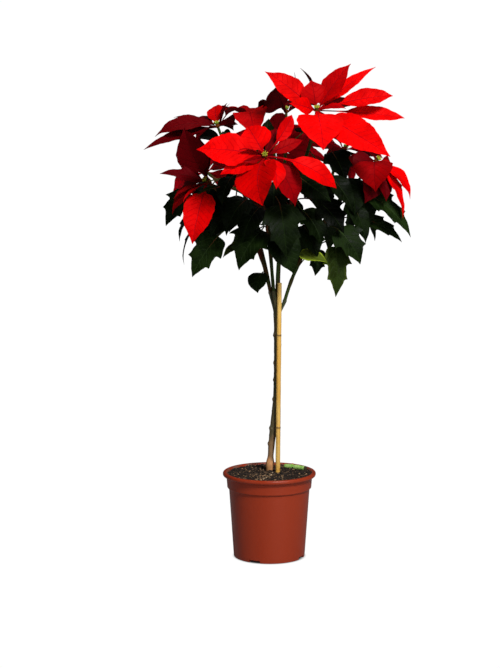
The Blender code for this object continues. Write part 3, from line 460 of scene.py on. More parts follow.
def cubic(start, end, leave, arrive, steps):
    path = []
    for step in range(steps + 1):
        t = step / steps
        s = 1 - t
        point = s**3 * start + 3 * s * s * t * (start + leave)
        path.append(point + 3 * s * t * t * (end - arrive) + t**3 * end)
    return path


def tube(path, radii, sides, rise=None, first=None, last=None):
    points = []
    across = Vector((1, 0, 0))
    for number, centre in enumerate(path):
        ahead = path[min(number + 1, len(path) - 1)] - path[max(number - 1, 0)]
        if first and number == 0:
            ahead = first
        if last and number == len(path) - 1:
            ahead = last
        ahead = ahead.normalized()
        across = (across - ahead * across.dot(ahead)).normalized()
        other = ahead.cross(across)
        for side in range(sides):
            angle = math.tau * side / sides
            out = across * math.cos(angle) + other * math.sin(angle)
            points.append(centre + out * (radii[number] + (rise(centre, out) if rise else 0)))
    faces = []
    for low in range(0, (len(path) - 1) * sides, sides):
        for side in range(sides):
            after = (side + 1) % sides
            faces.append([low + side, low + after, low + sides + after, low + sides + side])
    faces.append(list(reversed(range(sides))))
    faces.append(list(range((len(path) - 1) * sides, len(path) * sides)))
    return points, faces


def graded(table, value):
    for (low, first), (high, second) in zip(table, table[1:]):
        if value <= high:
            return first + (second - first) * max(0, (value - low) / (high - low))
    return table[-1][1]


def petiolePath(start, root, ahead, steps):
    reach = (root - start).length
    leave = up * reach * bladeSizes["petioleRise"]
    return cubic(start, root, leave, ahead * reach * bladeSizes["petioleRun"], steps)


def petioleSections(start, root, ahead, side):
    path = petiolePath(start, root, ahead, bladeSizes["petioleSteps"])
    sections = []
    for before, point, after in zip(path[-3::-1] + path[:1], path[-2::-1], path[::-1]):
        way = (after - before).normalized()
        side = ahead.rotation_difference(way) @ side
        ahead = way
        sections.append((point, side, side.cross(ahead), 1.2, 0, 2.4))
    return sections[::-1]


def bladeFrame(spec):
    ahead = (spec.tip - spec.root).normalized()
    side = ahead.cross(spec.facing)
    if side.length < 0.2:
        side = ahead.cross(up if abs(ahead.z) < 0.8 else Vector((1, 0, 0)))
    side.normalize()
    side = Matrix.Rotation(math.radians(spec.roll), 3, ahead) @ side
    control = (spec.root + spec.tip) / 2 + side.cross(ahead) * spec.arch * 2
    return side, control


def coarseSections(spec):
    root, tip = spec.root, spec.tip
    length = (tip - root).length
    side, control = bladeFrame(spec)
    sections = []
    if spec.start is not None:
        sections += petioleSections(spec.start, root, (control - root).normalized(), side)
    for t, share, lead in coarseOutlines[spec.outline]:
        ahead = (2 * (1 - t) * (control - root) + 2 * t * (tip - control)).normalized()
        half = max(spec.width / 2 * share, bladeSizes["neckHalf"] if t < 0.2 else bladeSizes["tipHalf"])
        thick = bladeSizes["neckThick"] if t == 0 else bladeSizes["thick"]
        centre = (1 - t) ** 2 * root + 2 * t * (1 - t) * control + t * t * tip
        sections.append((centre, side, side.cross(ahead), half, lead * length, thick))
    return sections


def coarseBlade(spec, skip=0):
    points = []
    extra = bendRule["clearance"] - bladeSizes["thick"]
    sections = coarseSections(spec)[skip:]
    for centre, side, normal, half, lead, thick in sections:
        ahead = normal.cross(side)
        rise = normal * half * (bladeSizes["fold"] if thick == bladeSizes["thick"] else 0)
        half = half + extra / 2
        lift = normal * (thick + extra) / 2
        left = centre - side * half + rise + ahead * lead
        right = centre + side * half + rise + ahead * lead
        points += [left + lift, centre + lift, right + lift, right - lift, centre - lift, left - lift]
    faces = []
    for low in range(0, (len(sections) - 1) * 6, 6):
        for first, second, flip in ((0, 1, 0), (1, 2, 1), (2, 3, 0), (3, 4, 0), (4, 5, 1), (5, 0, 0)):
            a, b, c, d = low + first, low + second, low + 6 + second, low + 6 + first
            faces += [[a, b, d], [b, c, d]] if flip else [[a, b, c], [a, c, d]]
    last = (len(sections) - 1) * 6
    faces += [[0, 5, 4], [0, 4, 1], [1, 4, 3], [1, 3, 2]]
    faces += [[last + a, last + b, last + c] for a, b, c in ((0, 4, 5), (0, 1, 4), (1, 3, 4), (1, 2, 3))]
    return points, faces


def turned(spec, lift, swing, shrink):
    pivot = spec.root if spec.start is None else spec.start
    ahead = (spec.tip - pivot).normalized()
    side = ahead.cross(spec.facing)
    if side.length < 0.2:
        side = ahead.cross(Vector((1, 0, 0)))
    side.normalize()
    normal = side.cross(ahead)
    turn = Matrix.Rotation(math.radians(lift), 3, side) @ Matrix.Rotation(math.radians(swing), 3, normal)
    far = pivot + turn @ (spec.tip - pivot) * shrink
    near = pivot + turn @ (spec.root - pivot) * shrink
    return spec._replace(root=near, tip=far, width=spec.width * shrink, arch=spec.arch * shrink)


def clearTurns():
    turns = []
    bends = range(-bendRule["limit"], bendRule["limit"] + 1, bendRule["step"])
    for shrink in bendRule["shrinks"]:
        for lift in bends:
            for swing in bends:
                cost = math.hypot(lift, swing) + bendRule["shrinkCost"] * (1 - shrink)
                turns.append((cost, lift, swing, shrink))
    return [turn[1:] for turn in sorted(turns)]


def limits(points):
    low = [min(point[axis] for point in points) for axis in range(3)]
    high = [max(point[axis] for point in points) for axis in range(3)]
    return low, high


def meets(form, placedForms):
    tree = BVHTree.FromPolygons(*form)
    low, high = limits(form[0])
    for node, placed, otherLow, otherHigh in placedForms:
        apart = any(low[axis] > otherHigh[axis] or high[axis] < otherLow[axis] for axis in range(3))
        if not apart and tree.overlap(placed):
            return True
    return False


class Crowd:
    def __init__(self):
        self.whole = []
        self.outer = []
        self.turns = clearTurns()

    def add(self, node, points, faces, outer=False):
        placed = (node, BVHTree.FromPolygons(points, faces), *limits(points))
        (self.outer if outer else self.whole).append(placed)

    def place(self, spec, node):
        # the smallest turn that clears the other pieces, and its own piece's blades where it can
        inner = bladeSizes["neckSections"] + (0 if spec.start is None else bladeSizes["petioleSteps"])
        others = [placed for placed in self.whole if placed[0] != node]
        own = [placed for placed in self.outer if placed[0] == node]
        for keepOff in (own, []):
            for turn in self.turns:
                bent = turned(spec, *turn)
                padded = coarseBlade(bent)
                if meets(padded, others):
                    continue
                outer = coarseBlade(bent, skip=inner)
                if meets(outer, keepOff):
                    continue
                self.add(node, *padded)
                self.add(node, *outer, outer=True)
                return bent


def branchStart(branch):
    end = Vector(branch["stub"])
    ahead = (end - Vector(trunkSizes["stubRoot"])).normalized()
    return end, (ahead + up * trunkSizes["stubUpturn"]).normalized()


def shootPaths(name, steps):
    branch = branches[name]
    start, ahead = branchStart(branch)
    paths = []
    coarse = []
    for number, bloom in enumerate(branch["blooms"]):
        axis = Vector(blooms[bloom]["axis"]).normalized()
        end = Vector(blooms[bloom]["centre"]) - axis * (flowerSizes["receptacle"] + 0.35)
        if number:
            start = coarse[2]
            ahead = (coarse[3] - coarse[1]).normalized()
        else:
            start = start + ahead * 0.35
        reach = (end - start).length
        paths.append(cubic(start, end, ahead * reach * 0.4, axis * reach * 0.3, steps))
        coarse = coarse or cubic(start, end, ahead * reach * 0.4, axis * reach * 0.3, shootSizes["steps"])
    return paths


def shootPoint(path, share, towards):
    place = share * (len(path) - 1)
    low = min(int(place), len(path) - 2)
    middle = path[low].lerp(path[low + 1], place - low)
    return middle + (towards - middle).normalized() * 0.7


def shootRadii(path, thick):
    last = len(path) - 1
    return [thick + (shootSizes["tip"] - thick) * number / last for number in range(last + 1)]


def whorlBracts(bloom):
    rule = bloom["whorl"]
    axis = Vector(bloom["axis"]).normalized()
    across = axis.cross(up).normalized()
    other = axis.cross(across)
    bracts = []
    for number in range(rule["count"]):
        angle = math.radians(rule["turn"] + whorlRule["turn"] * number)
        size = 1 - whorlRule["taper"] * number
        droop = math.radians(rule["droop"] - whorlRule["rise"] * number)
        out = across * math.cos(angle) + other * math.sin(angle)
        tip = (out * math.cos(droop) - axis * math.sin(droop)) * rule["length"] * size
        outline = "bract" if number % 3 else "lobed"
        bracts.append((tip, rule["width"] * size, whorlRule["arch"] * size, 0, outline))
    return bracts


def bractSpecs(bloom):
    axis = Vector(bloom["axis"]).normalized()
    centre = Vector(bloom["centre"])
    specs = []
    for tip, width, arch, roll, outline in bloom.get("bracts") or whorlBracts(bloom):
        out = Vector(tip)
        flat = (out - axis * out.dot(axis)).normalized()
        steep = max(0, out.normalized().dot(axis))
        root = centre + flat * (flowerSizes["bractOffset"] + 2 * steep) - axis * flowerSizes["bractDrop"]
        specs.append(Blade(root, centre + out, axis, width, arch, roll, outline, None))
    return specs


def leafSpecs(name, paths):
    specs = []
    for shoot, share, foot, tip, width, arch, roll, outline in branches[name]["leaves"]:
        foot, tip = Vector(foot), Vector(tip)
        out = (foot.xy - Vector(bladeSizes["headMiddle"])).normalized()
        facing = (out.to_3d() + up * bladeSizes["leafUpturn"]).normalized()
        start = shootPoint(paths[shoot], share, foot)
        specs.append(Blade(foot, tip, facing, width, arch, roll, outline, start))
    return specs


def settle():
    crowd = Crowd()
    paths = {name: shootPaths(name, shootSizes["steps"]) for name in branches}
    room = bendRule["stemRoom"]
    for name in branches:
        for path in paths[name]:
            radii = [radius + room for radius in shootRadii(path, trunkSizes["stubRadius"])]
            last = path[-1] - (path[-1] - path[-2]).normalized() * shootSizes["freeTip"]
            crowd.add("branch_" + name, *tube(path[:-1] + [last], radii, 6))
    for name, bloom in blooms.items():
        axis = Vector(bloom["axis"]).normalized()
        centre = Vector(bloom["centre"])
        radius, height = bendRule["flowerRoom"]
        crowd.add("cyathia_" + name, *tube([centre + axis, centre + axis * height], [radius] * 2, 8))
    stick = [Vector(caneSizes["foot"]), Vector(caneSizes["top"])]
    crowd.add("cane", *tube(stick, [caneSizes["radius"] + room] * 2, 8))
    for branch in branches.values():
        end, ahead = branchStart(branch)
        stub = [Vector(trunkSizes["stubRoot"]), end]
        crowd.add("trunk", *tube(stub, [trunkSizes["stubRadius"] + room] * 2, 6))
    placed = {}
    for name, bloom in blooms.items():
        node = "bloom_" + name
        placed[node] = [crowd.place(spec, node) for spec in bractSpecs(bloom)]
    for name in branches:
        node = "branch_" + name
        placed[node] = [crowd.place(spec, node) for spec in leafSpecs(name, paths[name])]
    return placed


# materials


def addNode(tree, kind, inputs=None, **settings):
    node = tree.nodes.new(kind)
    for key, value in settings.items():
        setattr(node, key, value)
    for key, value in (inputs or {}).items():
        if isinstance(value, bpy.types.NodeSocket):
            tree.links.new(value, node.inputs[key])
        else:
            node.inputs[key].default_value = value
    return node


def calc(tree, operation, *values, clamp=False):
    node = addNode(tree, "ShaderNodeMath", dict(enumerate(values)), operation=operation, use_clamp=clamp)
    return node.outputs[0]


def blendColours(tree, factor, first, second):
    node = tree.nodes.new("ShaderNodeMix")
    node.data_type = "RGBA"
    for key, value in ((0, factor), (6, first), (7, second)):
        if isinstance(value, bpy.types.NodeSocket):
            tree.links.new(value, node.inputs[key])
        else:
            node.inputs[key].default_value = (*value, 1) if key else value
    return node.outputs[2]


def spread(tree, value, low, high, first=0, second=1, smooth=True):
    node = addNode(
        tree,
        "ShaderNodeMapRange",
        {0: value, 1: low, 2: high, 3: first, 4: second},
        interpolation_type="SMOOTHSTEP" if smooth else "LINEAR",
    )
    return node.outputs[0]


def reading(tree, name):
    return addNode(tree, "ShaderNodeAttribute", attribute_name=name).outputs["Fac"]


def newGroup(name, inputs, outputs):
    group = bpy.data.node_groups.new(name, "ShaderNodeTree")
    for label, value in inputs:
        socket = group.interface.new_socket(label, in_out="INPUT", socket_type="NodeSocketFloat")
        socket.default_value = value
    for label in outputs:
        group.interface.new_socket(label, in_out="OUTPUT", socket_type="NodeSocketFloat")
    return group, group.nodes.new("NodeGroupInput").outputs, group.nodes.new("NodeGroupOutput").inputs


def useGroup(tree, group, **values):
    node = addNode(tree, "ShaderNodeGroup", node_tree=group)
    for label, value in values.items():
        socket = node.inputs[label.replace("_", " ")]
        if isinstance(value, bpy.types.NodeSocket):
            tree.links.new(value, socket)
        else:
            socket.default_value = value
    return node.outputs


def piecePlace(group):
    return addNode(group, "ShaderNodeTexCoord").outputs["Object"]


def stretchedPlace(group, stretch):  # below 1 it draws marks out upright
    parts = addNode(group, "ShaderNodeSeparateXYZ", {0: piecePlace(group)}).outputs
    tall = calc(group, "MULTIPLY", parts[2], stretch)
    return addNode(group, "ShaderNodeCombineXYZ", {0: parts[0], 1: parts[1], 2: tall}).outputs[0]


def mottleGroup():  # uneven tone, from noise in the piece's own place
    inputs = (("Scale", 60), ("Detail", 4), ("Low", 0.35), ("High", 0.65), ("Stretch", 1))
    group, given, result = newGroup("mottle", inputs, ("Value",))
    point = stretchedPlace(group, given["Stretch"])
    grain = {"Vector": point, "Scale": given["Scale"], "Detail": given["Detail"]}
    cloud = addNode(group, "ShaderNodeTexNoise", grain)
    group.links.new(spread(group, cloud.outputs[0], given["Low"], given["High"]), result["Value"])
    return group


def veinGroup():  # midrib and side veins of a blade, from the attributes that its mesh carries
    inputs = (("Vein Width", 0.07), ("Rib Width", 1.4), ("Net Scale", 420))
    group, given, result = newGroup("veins", inputs, ("Veins", "Net", "Height"))
    phase = calc(group, "FRACT", calc(group, "ADD", reading(group, "phase"), 100.5))
    away = calc(group, "ABSOLUTE", calc(group, "SUBTRACT", phase, 0.5))
    side = spread(group, away, given["Vein Width"], 0)
    side = calc(group, "MULTIPLY", side, spread(group, reading(group, "edge"), 0.02, 0.4))
    rib = spread(group, reading(group, "rib"), given["Rib Width"], 0)
    both = calc(group, "MAXIMUM", side, rib)
    mesh = {"Vector": piecePlace(group), "Scale": given["Net Scale"]}
    cells = addNode(group, "ShaderNodeTexVoronoi", mesh, feature="DISTANCE_TO_EDGE")
    net = spread(group, cells.outputs["Distance"], 0.12, 0)
    group.links.new(both, result["Veins"])
    group.links.new(net, result["Net"])
    group.links.new(calc(group, "MULTIPLY_ADD", net, 0.25, both), result["Height"])
    return group


def speckleGroup():  # small spots of uneven size
    inputs = (("Scale", 300), ("Share", 0.2), ("Stretch", 1))
    group, given, result = newGroup("speckle", inputs, ("Mask",))
    point = stretchedPlace(group, given["Stretch"])
    cells = addNode(group, "ShaderNodeTexVoronoi", {"Vector": point, "Scale": given["Scale"]})
    lot = addNode(group, "ShaderNodeSeparateColor", {0: cells.outputs["Color"]}).outputs[0]
    chosen = calc(group, "LESS_THAN", lot, given["Share"])
    spot = spread(group, cells.outputs["Distance"], 0.42, 0.2)
    group.links.new(calc(group, "MULTIPLY", chosen, spot), result["Mask"])
    return group


mottle = mottleGroup()
veins = veinGroup()
speckle = speckleGroup()


def newMaterial(name, roughness, **sockets):
    made = bpy.data.materials.new(name)
    made.use_nodes = True
    shader = made.node_tree.nodes["Principled BSDF"]
    shader.inputs["Roughness"].default_value = roughness
    for label, value in sockets.items():
        shader.inputs[label.replace("_", " ")].default_value = value
    return made, made.node_tree, shader


def cloud(tree, scale, detail, **more):
    return useGroup(tree, mottle, Scale=scale, Detail=detail, **more)["Value"]


def spots(tree, scale, share, stretch):
    return useGroup(tree, speckle, Scale=scale, Share=share, Stretch=stretch)["Mask"]


def part(tree, mask, share):
    return calc(tree, "MULTIPLY", mask, share)


def layered(tree, colours, mask, first, second, *layers):
    # first and second mixed by a mask, then more colours laid over them by their own masks
    colour = blendColours(tree, mask, colours[first], colours[second])
    for mask, name in layers:
        colour = blendColours(tree, mask, colour, colours[name])
    return colour


def toned(tree, colour, value):
    return addNode(tree, "ShaderNodeHueSaturation", {"Value": value, "Color": colour}).outputs[0]


def finishSurface(tree, shader, colour, roughness, height, distance):
    tree.links.new(colour, shader.inputs["Base Color"])
    if roughness:
        tree.links.new(roughness, shader.inputs["Roughness"])
    bump = addNode(tree, "ShaderNodeBump", {"Height": height, "Distance": distance})
    tree.links.new(bump.outputs[0], shader.inputs["Normal"])


def bladeRelief(tree, lines, under):  # veins sink into the upper side and stand out below
    return calc(tree, "MULTIPLY", lines["Height"], calc(tree, "MULTIPLY_ADD", under, 2.0, -1.0))


bractColours = {
    "bright": (0.9, 0.0, 0.0),
    "deep": (0.66, 0.0, 0.0),
    "vein": (0.42, 0.0, 0.004),
    "under": (0.62, 0.004, 0.02),
    "stalk": (0.2, 0.05, 0.01),
    "wine": (0.07, 0.0, 0.002),
}


def bractMaterial():
    made, tree, shader = newMaterial("red_bract_velvet", 0.58, Specular_IOR_Level=0.03)
    uneven = cloud(tree, 38.0, 5.0)
    lines = useGroup(tree, veins, Vein_Width=0.08, Rib_Width=1.1, Net_Scale=430.0)
    under = reading(tree, "under")
    colour = layered(
        tree, bractColours, uneven, "bright", "deep",
        (part(tree, lines["Veins"], 0.5), "vein"),
        (part(tree, lines["Net"], 0.1), "vein"),
        (part(tree, under, 0.6), "under"),
        # painted shade: bracts that stand in shade are darkened to wine red by this mark
        (reading(tree, "age"), "wine"),
        (reading(tree, "stalk"), "stalk"),
    )
    tone = spread(tree, reading(tree, "tone"), 0, 1, 0.82, 1.08, smooth=False)
    # painted shade: each bract darkens towards its root, in the shade of the bloom's centre
    tone = part(tree, tone, spread(tree, reading(tree, "along"), 0.0, 0.4, 0.6, 1.0))
    rough = spread(tree, uneven, 0, 1, 0.46, 0.62)
    finishSurface(tree, shader, toned(tree, colour, tone), rough, bladeRelief(tree, lines, under), 0.00035)
    return made


leafColours = {
    "upper": (0.0035, 0.0085, 0.0013),
    "fresh": (0.009, 0.02, 0.003),
    "vein": (0.022, 0.044, 0.01),
    "under": (0.013, 0.026, 0.006),
    "aged": (0.24, 0.32, 0.02),
    "stalk": (0.035, 0.06, 0.015),
    "flush": (0.12, 0.02, 0.012),
}


def leafMaterial():
    made, tree, shader = newMaterial("green_leaf_satin", 0.42, Specular_IOR_Level=0.045)
    uneven = cloud(tree, 45.0, 5.0)
    broad = cloud(tree, 14.0, 2.0, Low=0.4, High=0.6)
    lines = useGroup(tree, veins, Vein_Width=0.09, Rib_Width=1.3, Net_Scale=360.0)
    under = reading(tree, "under")
    rim = spread(tree, reading(tree, "edge"), 0.35, 0.0, 0.25, 1.0)
    colour = layered(
        tree, leafColours, uneven, "upper", "fresh",
        (part(tree, lines["Veins"], 0.55), "vein"),
        (part(tree, under, 0.7), "under"),
        (calc(tree, "MULTIPLY", reading(tree, "age"), rim, clamp=True), "aged"),
    )
    stem = blendColours(tree, broad, leafColours["stalk"], leafColours["flush"])
    colour = blendColours(tree, reading(tree, "stalk"), colour, stem)
    tone = spread(tree, reading(tree, "tone"), 0, 1, 0.75, 1.25, smooth=False)
    tone = part(tree, tone, spread(tree, reading(tree, "gloom"), 0, 1, 1, 0.15, smooth=False))
    rough = spread(tree, uneven, 0, 1, 0.36, 0.52)
    finishSurface(tree, shader, toned(tree, colour, tone), rough, bladeRelief(tree, lines, under), 0.0004)
    return made


flowerColours = {
    "green": (0.12, 0.24, 0.02),
    "tip": (0.45, 0.5, 0.03),
    "gland": (0.75, 0.5, 0.02),
    "stamen": (0.5, 0.02, 0.01),
}


def flowerMaterial():
    made, tree, shader = newMaterial("flower_bud", 0.4)
    uneven = cloud(tree, 500.0, 3.0)
    colour = layered(
        tree, flowerColours, reading(tree, "along"), "green", "tip",
        (part(tree, uneven, 0.3), "green"),
        (reading(tree, "gland"), "gland"),
        (reading(tree, "stamen"), "stamen"),
    )
    finishSurface(tree, shader, colour, spread(tree, uneven, 0, 1, 0.34, 0.5), uneven, 0.0001)
    return made


barkColours = {
    "green": (0.03, 0.045, 0.014),
    "brown": (0.25, 0.14, 0.06),
    "foot": (0.62, 0.29, 0.11),
    "pale": (0.3, 0.25, 0.16),
    "scar": (0.2, 0.12, 0.05),
}


def barkMaterial():
    made, tree, shader = newMaterial("bark_woody", 0.75)
    uneven = cloud(tree, 120.0, 6.0, Stretch=0.25)
    broad = cloud(tree, 30.0, 3.0, Stretch=0.5)
    pale = spots(tree, 260.0, 0.16, 0.6)
    height = addNode(tree, "ShaderNodeSeparateXYZ", {0: piecePlace(tree)}).outputs[2]
    height = calc(tree, "MULTIPLY_ADD", broad, 0.05, height)
    colour = layered(
        tree, barkColours, spread(tree, height, 0.225, 0.29), "brown", "green",
        (spread(tree, height, 0.21, 0.19), "foot"),
        (part(tree, uneven, 0.4), "brown"),
        (part(tree, pale, 0.5), "pale"),
        (reading(tree, "scar"), "scar"),
        (reading(tree, "ring"), "pale"),
    )
    relief = calc(tree, "MULTIPLY_ADD", pale, 0.6, uneven)
    finishSurface(tree, shader, colour, spread(tree, uneven, 0, 1, 0.6, 0.85), relief, 0.0006)
    return made


caneColours = {
    "gold": (0.86, 0.46, 0.07),
    "pale": (0.95, 0.62, 0.16),
    "streak": (0.46, 0.2, 0.03),
    "node": (0.05, 0.015, 0.01),
}


def caneMaterial():
    made, tree, shader = newMaterial("cane_split", 0.42)
    fibre = cloud(tree, 900.0, 4.0, Stretch=0.015)
    broad = cloud(tree, 60.0, 3.0, Stretch=0.2)
    colour = layered(
        tree, caneColours, broad, "gold", "pale",
        (part(tree, fibre, 0.35), "streak"),
        (reading(tree, "node"), "node"),
        (part(tree, spots(tree, 170.0, 0.07, 0.5), 0.7), "streak"),
    )
    finishSurface(tree, shader, colour, spread(tree, fibre, 0, 1, 0.34, 0.55), fibre, 0.00025)
    return made


potColours = {"plastic": (0.32, 0.028, 0.005), "worn": (0.4, 0.055, 0.02), "dust": (0.16, 0.1, 0.07)}


def potMaterial():
    made, tree, shader = newMaterial("pot_moulded_plastic", 0.3, Specular_IOR_Level=0.35)
    uneven = cloud(tree, 9.0, 3.0, Stretch=0.3)
    scuffs = cloud(tree, 70.0, 8.0, Low=0.6, High=0.75)
    grain = cloud(tree, 1400.0, 2.0, Low=0.3, High=0.7)
    wear = part(tree, scuffs, spread(tree, reading(tree, "worn"), 0, 1, 0.12, 0.8))
    soil = part(tree, reading(tree, "soiled"), cloud(tree, 90.0, 6.0))
    colour = layered(
        tree, potColours, part(tree, uneven, 0.35), "plastic", "worn",
        (wear, "worn"),
        (soil, "dust"),
    )
    rough = calc(tree, "ADD", spread(tree, uneven, 0, 1, 0.3, 0.38), part(tree, soil, 0.4))
    rough = calc(tree, "ADD", rough, part(tree, wear, 0.2))
    finishSurface(tree, shader, colour, rough, grain, 0.00002)
    return made


soilColours = {
    "dark": (0.006, 0.0035, 0.0025),
    "brown": (0.05, 0.024, 0.012),
    "tan": (0.55, 0.33, 0.17),
    "pale": (0.95, 0.75, 0.5),
}


def soilMaterial():
    made, tree, shader = newMaterial("compost_crumb", 0.92)
    uneven = cloud(tree, 220.0, 6.0)
    fibre = cloud(tree, 700.0, 4.0)
    tone = reading(tree, "tone")
    colour = layered(
        tree, soilColours, uneven, "dark", "brown",
        (spread(tree, tone, 0.4, 0.75), "tan"),
        (spread(tree, tone, 0.9, 1.0), "pale"),
        (part(tree, fibre, 0.45), "dark"),
    )
    finishSurface(tree, shader, colour, None, calc(tree, "ADD", uneven, fibre), 0.0008)
    return made


cutStemColours = {
    "green": (0.26, 0.55, 0.09),
    "pale": (0.46, 0.72, 0.2),
    "cut": (0.05, 0.045, 0.02),
    "spot": (0.1, 0.16, 0.04),
}


def cutStemMaterial():
    made, tree, shader = newMaterial("cut_stem_green", 0.45)
    streak = cloud(tree, 160.0, 4.0)
    colour = layered(
        tree, cutStemColours, streak, "green", "pale",
        (reading(tree, "end"), "cut"),
        (part(tree, spots(tree, 500.0, 0.12, 1.0), 0.5), "spot"),
    )
    finishSurface(tree, shader, colour, spread(tree, streak, 0, 1, 0.38, 0.55), streak, 0.0002)
    return made


pelletColours = {"orange": (0.62, 0.2, 0.02), "brown": (0.36, 0.09, 0.015)}


def pelletMaterial():
    made, tree, shader = newMaterial("feed_pellet_coat", 0.4)
    uneven = cloud(tree, 400.0, 4.0)
    colour = layered(tree, pelletColours, uneven, "orange", "brown")
    finishSurface(tree, shader, colour, spread(tree, uneven, 0, 1, 0.35, 0.55), uneven, 0.0002)
    return made


finish = {
    "red_bract": bractMaterial(),
    "green_leaf": leafMaterial(),
    "cyathium": flowerMaterial(),
    "bark": barkMaterial(),
    "cane": caneMaterial(),
    "pot_plastic": potMaterial(),
    "compost": soilMaterial(),
    "cut_stem": cutStemMaterial(),
    "feed_pellet": pelletMaterial(),
}
print("materials made:", len(finish))


# pieces: points and faces are gathered in a Form, which also holds a number for each point


class Form:
    def __init__(self, *names):
        self.points = []
        self.faces = []
        self.marks = {name: [] for name in names}

    def add(self, points, faces, **marks):
        first = len(self.points)
        self.points += [Vector(point) for point in points]
        self.faces += [[first + corner for corner in face] for face in faces]
        for name, row in self.marks.items():
            value = marks.get(name, 0)
            row += list(value) if isinstance(value, (list, tuple)) else [value] * len(points)

    def piece(self, name, slot, node, angle=50):
        mesh = bpy.data.meshes.new(name)
        mesh.from_pydata([point * mm for point in self.points], [], self.faces)
        for mark, row in self.marks.items():
            mesh.attributes.new(mark, "FLOAT", "POINT").data.foreach_set("value", row)
        mesh.materials.append(finish[slot])
        mesh.shade_smooth()
        mesh.set_sharp_from_angle(angle=math.radians(angle))
        mesh.update()
        made = bpy.data.objects.new(name, mesh)
        bpy.context.scene.collection.objects.link(made)
        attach(made, "root")
        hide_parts(node)
        return made


def grid(rows, columns, closed=False):
    faces = []
    for row in range(rows - 1):
        for column in range(columns if closed else columns - 1):
            after = (column + 1) % columns
            low, high = row * columns, (row + 1) * columns
            faces.append([low + column, low + after, high + after, high + column])
    return faces


# blades


def sheet(rows, across):
    # faces of a thin closed sheet: its upper side, its under side and the margin that joins them
    upper = grid(rows, across)
    total = rows * across
    lower = [[corner + total for corner in reversed(face)] for face in upper]
    left = range(0, total, across)
    right = range(across - 1, total, across)
    margin = []
    for line, flip in ((left, 0), (right, 1), (range(across), 1), (range(total - across, total), 0)):
        for a, b in zip(line, line[1:]):
            face = [a, b, b + total, a + total]
            margin.append(face[::-1] if flip else face)
    return upper + lower + margin


def slopes(stations, key):
    # slopes on both sides of each station; a corner keeps the slope of each side
    values = [(station[0], station[key]) for station in stations]
    steps = [(b[1] - a[1]) / (b[0] - a[0]) for a, b in zip(values, values[1:])]
    before, after = [], []
    for number, station in enumerate(stations):
        left = steps[max(number - 1, 0)]
        right = steps[min(number, len(steps) - 1)]
        if station[3]:
            before.append(left)
            after.append(right)
        else:
            middle = 0 if left * right <= 0 else 2 * left * right / (left + right)
            before.append(middle)
            after.append(middle)
    return before, after


def fineOutline(name, rows):
    # rows of (t, share, lead) along the blade, with every station of the outline among them
    stations = fineOutlines[name]
    tables = {key: slopes(stations, key) for key in (1, 2)}
    outline = []
    for number, (start, end) in enumerate(zip(stations, stations[1:])):
        span = end[0] - start[0]
        steps = max(2, round(rows * span))
        for step in range(steps + (number == len(stations) - 2)):
            s = step / steps
            row = [start[0] + span * s]
            for key in (1, 2):
                leave = tables[key][1][number] * span
                arrive = tables[key][0][number + 1] * span
                row.append(
                    (2 * s**3 - 3 * s * s + 1) * start[key]
                    + (s**3 - 2 * s * s + s) * leave
                    + (3 * s * s - 2 * s**3) * end[key]
                    + (s**3 - s * s) * arrive
                )
            outline.append(row)
    return outline


bladeLook = {
    "veinGap": 11,  # between side veins
    "veinSweep": 0.75,
    "quilt": 0.45,
    "groove": 0.35,
    "wave": 1.2,
    "waveLength": 34,
    "curl": 3.2,
    "ripple": 0.02,
    "marginThin": 0.55,
    "grooveReach": 1.6,
    "curlFrom": 0.72,  # share of the length from which the tip curls down
    "neckEnd": 0.1,
    "ribEnd": 0.9,
    "ribTip": 0.2,
    "ribSides": 8,
    "petioleSteps": 9,
}


